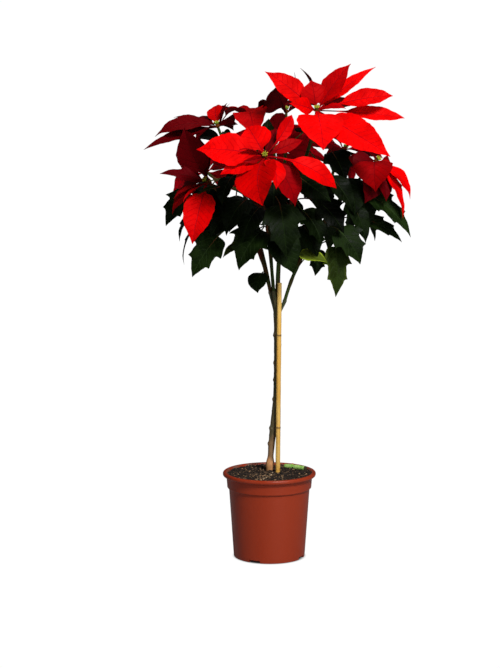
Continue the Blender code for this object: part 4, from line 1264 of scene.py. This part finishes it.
def fineBlade(form, spec, seed, age=0, gloom=0):
    draw = random.Random(seed)
    side, control = bladeFrame(spec)
    root, tip = spec.root, spec.tip
    length = (tip - root).length
    outline = fineOutline(spec.outline, bladeSizes["rows"])
    columns = bladeSizes["columns"]
    shares = [math.copysign(abs(number / columns) ** 0.85, number) for number in range(-columns, columns + 1)]
    tone = draw.random()
    lean = {-1: 1 + draw.uniform(-0.06, 0.06), 1: 1 + draw.uniform(-0.06, 0.06), 0: 1}
    phases = {sign: draw.uniform(0, math.tau) for sign in (-1, 1)}
    count = max(4, round(length / bladeLook["veinGap"]))
    curlFrom = bladeLook["curlFrom"]
    curl = bladeLook["curl"] * draw.uniform(0.3, 1.2) * min(1, length / 90)
    wave = bladeLook["wave"] * draw.uniform(0.6, 1.3) * min(1, spec.width / 40)
    points = {1: [], -1: []}
    marks = {name: [] for name in ("phase", "rib", "along", "edge")}
    spine = []
    for t, share, lead in outline:
        s = 1 - t
        centre = s * s * root + 2 * t * s * control + t * t * tip
        ahead = (2 * s * (control - root) + 2 * t * (tip - control)).normalized()
        normal = side.cross(ahead)
        centre = centre - normal * curl * max(0, (t - curlFrom) / (1 - curlFrom)) ** 2
        neck = max(0, 1 - t / bladeLook["neckEnd"])
        half = max(spec.width / 2 * share, bladeSizes["neckHalf"] * neck, 0.12)
        spine.append((t, centre, normal))
        for u in shares:
            sign = (u > 0) - (u < 0)
            size = abs(u)
            reach = half * lean[sign]
            sweep = size * reach / length * bladeLook["veinSweep"] + abs(lead) * size
            phase = (t - sweep) * count + 0.5 * (u > 0)
            rise = bladeSizes["fold"] * half * size**1.25 * (1 - neck)
            quilt = bladeLook["quilt"] * math.cos(math.tau * phase)
            rise -= quilt * size * (1 - size * 0.6) * min(1, half / 12)
            rise -= bladeLook["groove"] * bell(size * reach, bladeLook["grooveReach"]) * (1 - neck)
            if sign:
                turn = math.tau * t * length / bladeLook["waveLength"] + phases[sign]
                rise += wave * math.sin(turn) * size * size * min(1, half / 10)
                reach *= 1 + bladeLook["ripple"] * math.sin(2.7 * turn)
            place = centre + side * u * reach + normal * rise + ahead * lead * length * size**1.4
            thick = bladeSizes["fineThick"] * (1 - bladeLook["marginThin"] * size**3)
            for face in (1, -1):
                points[face].append(place + normal * face * thick / 2)
            marks["phase"].append(phase)
            marks["rib"].append(size * reach)
            marks["along"].append(t)
            marks["edge"].append(1 - size)
    under = [0] * len(points[1]) + [1] * len(points[1])
    doubled = {name: row * 2 for name, row in marks.items()}
    faces = sheet(len(outline), len(shares))
    form.add(points[1] + points[-1], faces, tone=tone, under=under, age=age, gloom=gloom, **doubled)
    midrib(form, spec, spine, control, tone, age)


def midrib(form, spec, spine, control, tone, age):
    # one tapered stalk from the stem along the blade's under side
    path = []
    radii = []
    if spec.start is not None:
        ahead = (control - spec.root).normalized()
        path = petiolePath(spec.start, spec.root, ahead, bladeLook["petioleSteps"])[:-1]
        radii = [bladeSizes["petiole"] * (1 + 0.35 * math.exp(-number * 1.5)) for number in range(len(path))]
    stalk = [1] * len(path)
    end = int(len(spine) * bladeLook["ribEnd"])
    thin = bladeLook["ribTip"]
    for t, centre, normal in spine[:end:2]:
        size = 1 - t / spine[end][0]
        radius = thin + (bladeSizes["petiole"] - thin) * size**1.3
        path.append(centre - normal * (bladeSizes["fineThick"] * 0.3 + radius * 0.25))
        radii.append(radius)
        stalk.append(max(0, 1 - t * 3) if spec.start is not None else 0)
    points, faces = tube(path, radii, bladeLook["ribSides"])
    stalks = [value for value in stalk for corner in range(bladeLook["ribSides"])]
    form.add(points, faces, tone=tone, under=1, age=age, stalk=stalks, rib=0, edge=1, phase=0.25)


# blooms and branches


# painted shade: how far each bract is darkened to wine red for the shade it stands in; the rest of its bloom
# has the bloom's own value
bloomPaintedShade = {
    "front": 0, "right_top": 0, "left_top": 0.93, "left_low": 0.95, "top_back": 0.92, "left_back": 0.6,
    "right_low": 0.82, "back_left": 0.2, "back_middle": 0.1, "back_right": 0.2,
}
bractPaintedShade = {
    ("front", 2): 0.72, ("front", 6): 0.3, ("front", 7): 0.6, ("front", 8): 0.85, ("front", 9): 0.1,
    ("front", 10): 0.7, ("front", 11): 0.7,
    ("right_top", 1): 0.4, ("right_top", 7): 0.9, ("right_top", 8): 0.4, ("right_top", 10): 0.5,
    ("right_top", 11): 0.7, ("left_top", 1): 0.88, ("left_top", 2): 0.95, ("left_top", 4): 0.15,
    ("left_low", 0): 0.15, ("left_low", 3): 0.75, ("left_low", 5): 0.7, ("left_low", 6): 0.3,
    ("left_back", 0): 0.45, ("right_low", 0): 0, ("right_low", 1): 0.6, ("right_low", 2): 0,
    ("right_low", 4): 0.5, ("right_low", 3): 0.93, ("right_low", 5): 0.93, ("right_low", 6): 0.97,
}

agedLeaves = {("right_top", 2): 0.95, ("left_low", 3): 0.8, ("right_low", 4): 0.12}

bloomHead = (  # place along the bloom's axis and radius
    (-5.5, 2.6), (-4.8, 3.1), (-3.3, 4.6), (-1.6, 4.4), (0, 3.6), (1, 2.8),
)


def makeBloom(name, specs, number):
    form = Form("phase", "rib", "along", "edge", "tone", "under", "age", "stalk")
    axis = Vector(blooms[name]["axis"]).normalized()
    centre = Vector(blooms[name]["centre"])
    path = [centre + axis * place for place, radius in bloomHead]
    points, faces = tube(path, [radius for place, radius in bloomHead], 16)
    form.add(points, faces, stalk=1, edge=1, rib=9, phase=0.25, tone=0.5)
    for order, spec in enumerate(specs):
        # a bract's value here is its painted shade; leaves use the same mark for their yellowing
        fineBlade(form, spec, 100 * number + order, bractPaintedShade.get((name, order), bloomPaintedShade[name]))
    form.piece("bracts_" + name, "red_bract", "bloom_" + name)


crownShade = {
    "front": -150,  # where it starts, and the depth over which it deepens
    "depth": 100,
    "low": 560,  # the same upwards
    "rise": 60,
    "reach": 125,  # the same from the middle out to either side
    "fade": 50,
}


def leafGloom(spec):
    # leaves inside the crown are drawn darker, for the shade there; the outer and lowest ones aren't
    middle = (spec.root + spec.tip) / 2
    shares = (
        (middle.y - crownShade["front"]) / crownShade["depth"],
        (middle.z - crownShade["low"]) / crownShade["rise"],
        1 - (abs(middle.x) - crownShade["reach"]) / crownShade["fade"],
    )
    return math.prod(min(1, max(0, share)) for share in shares)


def makeBranch(name, specs, number):
    form = Form("phase", "rib", "along", "edge", "tone", "under", "age", "stalk", "gloom")
    paths = shootPaths(name, shootSizes["fineSteps"])
    ahead = branchStart(branches[name])[1]
    axes = [Vector(blooms[bloom]["axis"]) for bloom in branches[name]["blooms"]]
    for order, (path, axis) in enumerate(zip(paths, axes)):
        radii = shootRadii(path, trunkSizes["stubRadius"] - (0.5 if order else 0.2))
        joints = [leaf[1] for leaf in branches[name]["leaves"] if leaf[0] == order]
        joints += [share + 0.07 for share in joints if share < 0.8]
        for step in range(len(path)):
            share = step / (len(path) - 1)
            radii[step] += shootSizes["jointRise"] * max(
                bell(share - joint, shootSizes["jointReach"]) for joint in joints + [2]
            )
        if not order:
            path = [path[0] - ahead * 2.5] + path
            radii = radii[:1] + radii
        points, faces = tube(path, radii, shootSizes["fineSides"], last=axis)
        form.add(points, faces, stalk=1, edge=1, rib=9, phase=0.25, tone=0.5, under=1)
    for order, spec in enumerate(specs):
        fineBlade(form, spec, 5000 + 100 * number + order, agedLeaves.get((name, order), 0), leafGloom(spec))
    form.piece("leaves_" + name, "green_leaf", "branch_" + name)


budForm = (  # height and radius as shares
    (0, 0.35), (0.1, 0.7), (0.3, 0.97), (0.5, 1), (0.7, 0.86), (0.86, 0.62), (0.95, 0.55), (1, 0.48),
    (0.96, 0.34),
)

clusterLook = {
    "foot": 1.2,
    "base": ((0, 2.4), (1.2, 3.0), (2.6, 2.6), (3.2, 1.4)),  # height, radius
    "innerRise": 1.4,  # the middle bud and the ring of the others
    "outerRise": 0.8,
    "lean": 0.3,
    "glandAt": 0.82,
    "glandSize": 0.5,
    "stamens": 4,
    "stamenFrom": 0.8,
    "stamenTo": 0.95,
    "stamenRadii": (0.16, 0.12),
    "antherRadius": 0.34,
    "redShare": 0.6,
}


def makeFlowers(name, number):
    draw = random.Random(900 + number)
    form = Form("along", "gland", "stamen")
    axis = Vector(blooms[name]["axis"]).normalized()
    look = clusterLook
    foot = Vector(blooms[name]["centre"]) + axis * look["foot"]
    across = axis.orthogonal().normalized()
    path = [foot + axis * place for place, radius in look["base"]]
    points, faces = tube(path, [radius for place, radius in look["base"]], 14)
    form.add(points, faces, along=0.1)
    for bud in range(flowerSizes["buds"]):
        inner = bud == 0
        angle = math.tau * bud / (flowerSizes["buds"] - 1) + draw.uniform(-0.15, 0.15)
        out = Matrix.Rotation(angle, 3, axis) @ across
        start = foot + axis * look["innerRise" if inner else "outerRise"]
        start = start + out * (0 if inner else flowerSizes["ring"] - 1)
        lean = (axis + out * (0 if inner else look["lean"])).normalized()
        height = flowerSizes["budHeight"] * draw.uniform(0.78, 1) * (1 if inner else 0.9)
        radius = flowerSizes["budRadius"] * draw.uniform(0.85, 1)
        path = [start + lean * height * rise for rise, share in budForm]
        points, faces = tube(path, [radius * share for rise, share in budForm], 12)
        form.add(points, faces, along=[rise**2 for rise, share in budForm for corner in range(12)])
        mouth = start + lean * height * look["glandAt"] + out * radius * (0.2 if inner else 0.85)
        addBall(form, mouth, radius * look["glandSize"], lean, 0.6, gland=1)
        for stamen in range(look["stamens"]):
            spin = Matrix.Rotation(math.tau * stamen / look["stamens"] + draw.random(), 3, lean)
            way = (lean + spin @ lean.orthogonal().normalized() * 0.5).normalized()
            top = start + lean * height * look["stamenTo"] + way * draw.uniform(0.7, 1.3)
            points, faces = tube([start + lean * height * look["stamenFrom"], top], look["stamenRadii"], 5)
            form.add(points, faces, stamen=0.3)
            red = 1 if draw.random() < look["redShare"] else 0
            addBall(form, top, look["antherRadius"], way, 0.9, stamen=red, gland=0.9)
    form.piece("flowers_" + name, "cyathium", "cyathia_" + name, 70)


def addBall(form, centre, radius, axis, flat, **marks):
    rings = 5
    angles = [math.pi * (step / rings - 0.5) for step in range(rings + 1)]
    path = [centre + axis * radius * flat * math.sin(angle) for angle in angles]
    radii = [radius * max(0.12, math.cos(angle)) for angle in angles]
    points, faces = tube(path, radii, 8)
    form.add(points, faces, **marks)


placed = settle()
print("blades settled:", sum(len(specs) for specs in placed.values()))
for number, name in enumerate(blooms):
    makeBloom(name, placed["bloom_" + name], number)
    makeFlowers(name, number)
print("blooms made:", len(blooms))
for number, name in enumerate(branches):
    makeBranch(name, placed["branch_" + name], number)
print("branches made:", len(branches))


# trunk


def trunkCentre(height):
    path = smoothPath(trunkSizes["path"], 8)
    for low, high in zip(path, path[1:]):
        if height <= high.z:
            return low.lerp(high, (height - low.z) / (high.z - low.z))
    return path[-1]


def stubRough(centre, out):
    return 0.2 * noise(centre / 4 + out)


def makeTrunk():
    form = Form("scar", "ring")
    foot, top, steps = trunkSizes["foot"], trunkSizes["top"], trunkSizes["steps"]
    heights = [foot + (top - foot) * step / steps for step in range(steps + 1)]
    path = [trunkCentre(height) for height in heights]
    radii = []
    for height in heights:
        low = graded(trunkSizes["radii"], height - 4)
        high = graded(trunkSizes["radii"], height + 4)
        ring = max(bell(height - mark, 1.4) for mark in trunkSizes["rings"])
        middle = graded(trunkSizes["radii"], height)
        radii.append((low + high + middle) / 3 + trunkSizes["ringRise"] * ring)

    def rise(centre, out):
        swell = 0.35 * noise(Vector((out.x * 1.3, out.y * 1.3, centre.z / 16)))
        swell += 0.22 * noise(Vector((out.x * 4, out.y * 4, centre.z / 5)))
        for height, side in trunkSizes["scars"]:
            near = bell(centre.z - height, trunkSizes["scarReach"])
            swell += trunkSizes["scarRise"] * near * max(0, out.x * side) ** 2
        return swell

    points, faces = tube(path, radii, trunkSizes["sides"], rise)
    scars, rings = [], []
    paleRings = trunkSizes["rings"][: trunkSizes["paleRings"]]
    for index, point in enumerate(points):
        out = (point - path[index // trunkSizes["sides"]]).normalized()
        scars.append(max(
            bell(point.z - height, 2.4) * max(0, out.x * side) ** 3 for height, side in trunkSizes["scars"]
        ))
        rings.append(max(bell(point.z - mark, 1.2) for mark in paleRings) * 0.7)
    form.add(points, faces, scar=scars, ring=rings)
    root = Vector(trunkSizes["stubRoot"])
    for branch in branches.values():
        end, ahead = branchStart(branch)
        start = root + Vector((end.x - root.x, end.y - root.y, 0)) * trunkSizes["stubSpread"]
        bend = trunkSizes["stubBend"]
        steps = trunkSizes["stubSteps"]
        path = cubic(start, end, up * bend, ahead * bend, steps)
        flare = trunkSizes["stubFlare"]
        radii = [trunkSizes["stubRadius"] + flare * (1 - step / steps) ** 2 for step in range(steps + 1)]
        radii[-2] += 0.5
        radii[-1] += 0.2
        points, faces = tube(path, radii, 14, stubRough, last=ahead)
        form.add(points, faces)
    form.piece("trunk_bark", "bark", "trunk")


makeTrunk()


def caneRough(centre, out):
    return 0.13 * noise(Vector((out.x * 2, out.y * 2, centre.z / 45)))


def makeCane():
    form = Form("node")
    foot, top = Vector(caneSizes["foot"]), Vector(caneSizes["top"])
    steps = caneSizes["steps"]
    heights = [foot.z + (top.z - foot.z) * step / steps for step in range(steps + 1)]
    for node in caneSizes["nodes"]:
        heights += [node - 1.2, node - 0.6, node, node + 0.6, node + 1.2]
    heights = sorted(set(heights) | {top.z - 0.6, top.z - 0.2})
    path = [foot.lerp(top, (height - foot.z) / (top.z - foot.z)) for height in heights]
    radii = []
    for height in heights:
        ridge = max(bell(height - node, 1.5) for node in caneSizes["nodes"])
        dip = max(bell(height - node - 3, 2.5) for node in caneSizes["nodes"])
        end = max(0, 1 - (top.z - height) / 0.8) * 0.7
        ridge *= caneSizes["nodeRise"]
        radii.append(caneSizes["radius"] - 0.1 + ridge - caneSizes["nodeDip"] * dip - end)
    points, faces = tube(path, radii, caneSizes["sides"], caneRough)
    nodes = [0.9 * max(bell(point.z - node, 1.3) for node in caneSizes["nodes"]) for point in points]
    form.add(points, faces, node=nodes)
    form.piece("cane_stick", "cane", "cane")


makeCane()
print("trunk and cane made")


# pot and compost

potSizes = {
    "height": 157,
    "rimRadius": 85,
    "rimDepth": 7,
    "collarRadius": 78.5,
    "collarDepth": 21,
    "bodyRadius": 74,
    "footRadius": 65,
    "wall": 1.8,
    "floor": 3,
    "sides": 160,
    "notchWidth": 22,
    "notchHeight": 5,
    "notchDepth": 9,
    "notchCorner": 1.5,
    "firstNotch": -24.5,  # degrees round from the front
    "corner": 0.9,
    "sharpAngle": 35,  # degrees above which an edge is drawn sharp
}
potBodyTop = potSizes["height"] - potSizes["rimDepth"] - potSizes["collarDepth"]


def rounded(profile, radius, steps=4):
    # a profile with its corners turned into short arcs
    out = [profile[0]]
    for before, corner, after in zip(profile, profile[1:], profile[2:]):
        before, corner, after = Vector(before), Vector(corner), Vector(after)
        first = corner + (before - corner).normalized() * min(radius, (before - corner).length * 0.45)
        last = corner + (after - corner).normalized() * min(radius, (after - corner).length * 0.45)
        for step in range(steps + 1):
            t = step / steps
            out.append(tuple((1 - t) ** 2 * first + 2 * t * (1 - t) * corner + t * t * last))
    return out + [profile[-1]]


def lathe(profile, sides):
    points = []
    for radius, height in profile:
        for side in range(sides):
            angle = math.tau * side / sides
            points.append(Vector((radius * math.cos(angle), radius * math.sin(angle), height)))
    return points, grid(len(profile), sides, closed=True)


def makePot():
    size = potSizes
    top, wall, floor = size["height"], size["wall"], size["floor"]
    foot, body, collar, rim = size["footRadius"], size["bodyRadius"], size["collarRadius"], size["rimRadius"]
    rimFoot = top - size["rimDepth"]
    profile = [
        (0.5, 0.0), (foot - 5, 0.6), (foot - 3.5, 0.0), (foot, 0.0), (foot + 0.7, 9),
        (body - 0.6, potBodyTop - 7), (body, potBodyTop - 2), (collar - 1.6, potBodyTop - 0.4),
        (collar - 1.4, potBodyTop + 2.5), (collar, rimFoot - 1), (rim - 1, rimFoot + 0.2), (rim, rimFoot + 2),
        (rim, top - 1.8), (rim - 1.6, top), (collar + 0.2, top), (collar - wall, top - 2.4),
        (collar - 1.6 - wall, potBodyTop + 2), (body - wall, potBodyTop - 2), (foot - wall + 0.2, floor),
        (0.5, floor),
    ]
    profile = rounded(profile, size["corner"])
    points, faces = lathe(profile, size["sides"])
    last = len(points) - size["sides"]
    faces.append(list(reversed(range(size["sides"]))))
    faces.append(list(range(last, last + size["sides"])))
    form = Form("worn", "soiled")
    worn, soiled = [], []
    topRow = max(row for row, corner in enumerate(profile) if corner[1] > top - 0.01)
    for index, point in enumerate(points):
        edge = max(0, 1 - abs(point.z - top + 1.5) / 3) * (math.hypot(point.x, point.y) > rim - 3)
        worn.append(min(1, edge + max(0, 1 - point.z / 7)))
        soiled.append(1.0 if index // size["sides"] > topRow + 1 else 0.0)
    form.add(points, faces, worn=worn, soiled=soiled)
    pot = form.piece("pot_moulded", "pot_plastic", "pot", size["sharpAngle"])
    cutters = []
    for number in range(4):
        angle = math.radians(size["firstNotch"] + 90 * number - 90)
        bpy.ops.mesh.primitive_cube_add(size=1)
        cutter = bpy.context.object
        shape = Matrix.Diagonal((2 * size["notchDepth"], size["notchWidth"], 2 * size["notchHeight"], 1))
        place = Matrix.Rotation(angle, 4, "Z") @ Matrix.Translation((foot, 0, 0)) @ shape
        cutter.data.transform(Matrix.Scale(mm, 4) @ place)
        edge = cutter.modifiers.new("edge", "BEVEL")
        edge.width = size["notchCorner"] * mm
        edge.segments = 3
        cutters.append(cutter)
    for cutter in cutters:
        cut = pot.modifiers.new("notch", "BOOLEAN")
        cut.object = cutter
        cut.operation = "DIFFERENCE"
        cut.solver = "EXACT"
    applyModifiers(pot)
    for cutter in cutters:
        bpy.data.objects.remove(cutter)
    pot.data.shade_smooth()
    pot.data.set_sharp_from_angle(angle=math.radians(size["sharpAngle"]))


def applyModifiers(thing):
    bpy.context.view_layer.update()
    made = bpy.data.meshes.new_from_object(thing.evaluated_get(bpy.context.evaluated_depsgraph_get()))
    thing.modifiers.clear()
    thing.data = made


makePot()

soilSizes = {
    "level": 153.5,
    "mound": 3.5,
    "moundReach": 38,
    "broadLump": 1.5,
    "smallLump": 0.9,
    "edge": 75.5,
    "rings": 74,
    "sides": 200,
    "sizesMix": (0.8, 1, 1.5),
    "debris": (-10, -30),  # where pale debris gathers, in front of the trunk
    "debrisReach": 26,
}

soilBits = {  # count, distance kept from the wall, least and greatest size, shape, how much paler
    "crumbs": (2600, 1.5, (0.5, 1.5), (1, 0.8, 0.7), 0),
    "chips": (420, 5, (1.8, 4.2), (1, 0.6, 0.35), 0.1),
    "fibres": (160, 9, (3, 7), (1, 0.09, 0.09), 0.2),
}


def soilHeight(x, y):
    mound = soilSizes["mound"] * bell(math.hypot(x, y), soilSizes["moundReach"])
    broad = soilSizes["broadLump"] * math.sin(0.17 * x + 1.1) * math.cos(0.21 * y - 0.4)
    small = soilSizes["smallLump"] * math.sin(0.37 * x - 0.29 * y + 2)
    return soilSizes["level"] + mound + broad + small


def crumbHeight(x, y):
    grain = 0.9 * noise(Vector((x / 4.5, y / 4.5, 3))) + 0.6 * noise(Vector((x / 1.9, y / 1.9, 8)))
    return soilHeight(x, y) + grain - 0.4


def makeSoil():
    form = Form("tone")
    size = potSizes
    inside = size["wall"] + 0.6
    bottom = size["floor"] + 0.4
    sides, rings = soilSizes["sides"], soilSizes["rings"]
    profile = [
        (0.5, bottom), (size["footRadius"] - inside, bottom),
        (size["bodyRadius"] - inside - 0.1, potBodyTop - 2),
        (size["collarRadius"] - 1.8 - inside, potBodyTop + 2.4),
    ]
    profile += [(soilSizes["edge"] * (1 - (ring / rings) ** 0.9) + 0.4, None) for ring in range(rings)]
    points = []
    tones = []
    for radius, height in profile:
        for side in range(sides):
            angle = math.tau * side / sides
            x, y = radius * math.cos(angle), radius * math.sin(angle)
            points.append(Vector((x, y, crumbHeight(x, y) if height is None else height)))
            tones.append(0.35 + 0.35 * noise(Vector((x / 3, y / 3, 20))))
    faces = grid(len(profile), sides, closed=True)
    last = len(points) - sides
    faces.append(list(reversed(range(sides))))
    faces.append(list(range(last, last + sides)))
    form.add(points, faces, tone=tones)
    draw = random.Random(41)
    for kind, (count, kept, sizes, shape, paler) in soilBits.items():
        for bit in range(count):
            x, y = soilPlace(draw, soilSizes["edge"] - kept)
            length = draw.uniform(*sizes)
            if kind == "crumbs":
                length *= draw.choice(soilSizes["sizesMix"])
            addLump(form, draw, x, y, length, shape, soilTone(draw, x, y) + paler)
    form.piece("compost_crumbly", "compost", "compost", 40)


def soilPlace(draw, reach):
    angle = draw.uniform(0, math.tau)
    away = reach * math.sqrt(draw.random())
    return away * math.cos(angle), away * math.sin(angle)


def soilTone(draw, x, y):
    middle, reach = soilSizes["debris"], soilSizes["debrisReach"]
    near = math.exp(-(((x - middle[0]) / reach) ** 2 + ((y - middle[1]) / reach) ** 2))
    return draw.random() ** 3.2 * 0.75 + draw.random() * 0.75 * near


gold = 1.618  # a crumb starts from a solid with twenty faces
lumpCorners = [Vector(corner).normalized() for corner in (
    (0, 1, gold), (0, -1, gold), (0, 1, -gold), (0, -1, -gold), (1, gold, 0), (-1, gold, 0),
    (1, -gold, 0), (-1, -gold, 0), (gold, 0, 1), (-gold, 0, 1), (gold, 0, -1), (-gold, 0, -1),
)]
lumpFaces = (
    (0, 1, 8), (0, 9, 1), (0, 8, 4), (0, 4, 5), (0, 5, 9), (1, 6, 8), (1, 7, 6), (1, 9, 7), (8, 6, 10),
    (8, 10, 4), (4, 10, 2), (4, 2, 5), (5, 2, 11), (5, 11, 9), (9, 11, 7), (7, 11, 3), (7, 3, 6),
    (6, 3, 10), (10, 3, 2), (2, 3, 11),
)


def addLump(form, draw, x, y, size, shape, tone):
    spin = Matrix.Rotation(draw.uniform(0, math.tau), 3, "Z")
    spin = spin @ Matrix.Rotation(draw.uniform(-0.45, 0.45), 3, "Y")
    spin = spin @ Matrix.Rotation(draw.uniform(-0.6, 0.6), 3, "X")
    centre = Vector((x, y, crumbHeight(x, y) + size * shape[2] * 0.35))
    points = []
    for corner in lumpCorners:
        point = Vector((corner.x * shape[0], corner.y * shape[1], corner.z * shape[2]))
        points.append(centre + spin @ point * size * draw.uniform(0.75, 1.15))
    form.add(points, lumpFaces, tone=min(1, tone))


makeSoil()
print("pot and compost made")


# cut stem piece and pellet, where their solids are

cutStemSizes = {
    "ends": ((30, 49), (67, 22)),
    "radius": 4.5,
    "taper": 0.2,
    "bow": 0.35,
    "knotAt": 0.3,
    "knotReach": 0.04,
    "knotRise": 0.35,
    "darkEnd": 0.97,
    "hollow": 3,  # the pith has shrunk into both ends
    "hollowRadii": (2.6, 3.0),
    "steps": 40,
    "sides": 20,
}


def solidHeight(node, place, nearest=8):
    # middle height of the solid's own points round a place seen from above
    points = [vertex.co / mm for vertex in frame["nodes"][node].data.vertices]
    near = sorted(points, key=lambda point: (point.xy - place).length)[:nearest]
    return sum(point.z for point in near) / nearest


def cutStemRough(centre, out):
    return 0.12 * noise(centre / 7 + out * 1.5)


def makeCutStem():
    form = Form("end")
    size = cutStemSizes
    places = [Vector(end) for end in size["ends"]]
    first, last = (Vector((*place, solidHeight("cut_stem_piece", place))) for place in places)
    path = []
    radii = []
    marks = []
    for step in range(size["steps"] + 1):
        s = step / size["steps"]
        path.append(first.lerp(last, s) + up * size["bow"] * math.sin(math.pi * s))
        knot = size["knotRise"] * bell(s - size["knotAt"], size["knotReach"])
        radii.append(size["radius"] + knot - size["taper"] * s)
        marks.append(1.0 if s > size["darkEnd"] else 0.0)
    inner = (last - first).normalized()
    path = [path[0] + inner * size["hollow"], path[0]] + path + [path[-1], path[-1] - inner * size["hollow"]]
    radii = list(size["hollowRadii"]) + radii + list(reversed(size["hollowRadii"]))
    marks = [1.0, 0.4] + marks + [1.0, 1.0]
    points, faces = tube(path, radii, size["sides"], cutStemRough, first=inner, last=inner)
    form.add(points, faces, end=[mark for mark in marks for corner in range(size["sides"])])
    form.piece("cut_stem_green", "cut_stem", "cut_stem_piece", 35)


pelletSizes = {"radius": 3.1, "swell": 0.14, "pitting": 0.05}


def makePellet():
    form = Form()
    low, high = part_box("feed_pellet")
    centre = (low + high) / 2 / mm
    bpy.ops.mesh.primitive_ico_sphere_add(subdivisions=4, radius=1)
    ball = bpy.context.object
    points = []
    for vertex in ball.data.vertices:
        out = vertex.co.normalized()
        uneven = pelletSizes["swell"] * noise(out * 2.5) + pelletSizes["pitting"] * noise(out * 7)
        points.append(centre + out * (pelletSizes["radius"] + uneven))
    faces = [list(face.vertices) for face in ball.data.polygons]
    bpy.data.objects.remove(ball)
    form.add(points, faces)
    form.piece("feed_pellet_ball", "feed_pellet", "feed_pellet")


makeCutStem()
makePellet()
print("cut stem piece and pellet made")


# floor, light and camera, in metres

stageLook = {
    "floorSize": 14,
    "floorGrey": 0.3,  # as the light in the scene meets it
    "white": 1.02,  # as the camera sees floor and sky
    "paintedShadowRadii": (0.058, 0.07),  # painted shadow under the pot: radii between which the floor goes from dark to white
    "paintedShadowDark": 0.01,
    "sky": 0.05,
    "lamps": {  # place, size, watts, height that it points at
        "key": ((1.0, -2.2, 2.7), (0.8, 0.8), 98, 0.6),
        "fill": ((-2.2, -1.8, 1.2), (1.6, 1.6), 7, 0.6),
        "top": ((-0.2, 0.5, 2.8), (1.2, 1.2), 8, 0.6),
        "strip": ((1.15, -2.1, 0.9), (0.22, 1.9), 14, 0.9),  # soft upright highlight on the pot
    },
}


def forCamera(tree, lit, seen, output):
    # one shader for the light in the scene and another for the camera
    ray = addNode(tree, "ShaderNodeLightPath").outputs["Is Camera Ray"]
    both = addNode(tree, "ShaderNodeMixShader", {0: ray, 1: lit.outputs[0], 2: seen.outputs[0]})
    addNode(tree, output, {"Surface": both.outputs[0]})


def makeFloor():
    bpy.ops.mesh.primitive_plane_add(size=stageLook["floorSize"], location=(0, 0, -0.0004))
    floor = bpy.context.object
    floor.name = "studio_floor"
    made = bpy.data.materials.new("studio_white")
    made.use_nodes = True
    tree = made.node_tree
    tree.nodes.clear()
    matt = addNode(tree, "ShaderNodeBsdfDiffuse", {"Color": (*[stageLook["floorGrey"]] * 3, 1)})
    away = addNode(tree, "ShaderNodeVectorMath", {0: piecePlace(tree)}, operation="LENGTH").outputs["Value"]
    # painted shadow: the floor the camera sees is dark under the pot and fades to white round its foot
    bright = spread(tree, away, *stageLook["paintedShadowRadii"], stageLook["paintedShadowDark"], stageLook["white"])
    lit = addNode(tree, "ShaderNodeEmission", {"Color": (1, 1, 1, 1), "Strength": bright})
    forCamera(tree, matt, lit, "ShaderNodeOutputMaterial")
    floor.data.materials.append(made)


def makeLamp(name, place, size, power, aim):
    lamp = bpy.data.lights.new(name + "_light", "AREA")
    lamp.shape = "DISK" if size[0] == size[1] else "RECTANGLE"
    lamp.size, lamp.size_y = size
    lamp.energy = power
    made = bpy.data.objects.new(name + "_light", lamp)
    bpy.context.scene.collection.objects.link(made)
    made.location = place
    made.rotation_euler = (Vector((0, 0, aim)) - Vector(place)).to_track_quat("-Z", "Y").to_euler()


def makeWorld():
    world = bpy.data.worlds.new("studio")
    bpy.context.scene.world = world
    world.use_nodes = True
    tree = world.node_tree
    tree.nodes.clear()
    dim = addNode(tree, "ShaderNodeBackground", {"Color": (1, 1, 1, 1), "Strength": stageLook["sky"]})
    white = addNode(tree, "ShaderNodeBackground", {"Color": (1, 1, 1, 1), "Strength": stageLook["white"]})
    forCamera(tree, dim, white, "ShaderNodeOutputWorld")


cameraView = {
    "place": (0, -3.5, 0.9096),
    "tilt": -0.1415,  # radians down from level
    "roll": 0.0101,
    "sensor": 36,
    "lens": 105.14,
}


def makeCamera():
    lens = bpy.data.cameras.new("camera")
    lens.sensor_fit = "VERTICAL"
    lens.sensor_height = cameraView["sensor"]
    lens.lens = cameraView["lens"]
    made = bpy.data.objects.new("camera", lens)
    bpy.context.scene.collection.objects.link(made)
    made.location = cameraView["place"]
    made.rotation_euler = (math.pi / 2 + cameraView["tilt"], 0, cameraView["roll"])
    bpy.context.scene.camera = made


makeFloor()
for name, lamp in stageLook["lamps"].items():
    makeLamp(name, *lamp)
makeWorld()
makeCamera()
bpy.context.scene.view_settings.view_transform = "Standard"
print("floor, lamps and camera set:", len(stageLook["lamps"]), "lamps")

total = 0
for piece in bpy.data.objects:
    if piece.type == "MESH" and not piece.hide_render:
        piece.data.calc_loop_triangles()
        total += len(piece.data.loop_triangles)
print("triangles shown:", total)
bpy.context.view_layer.update()
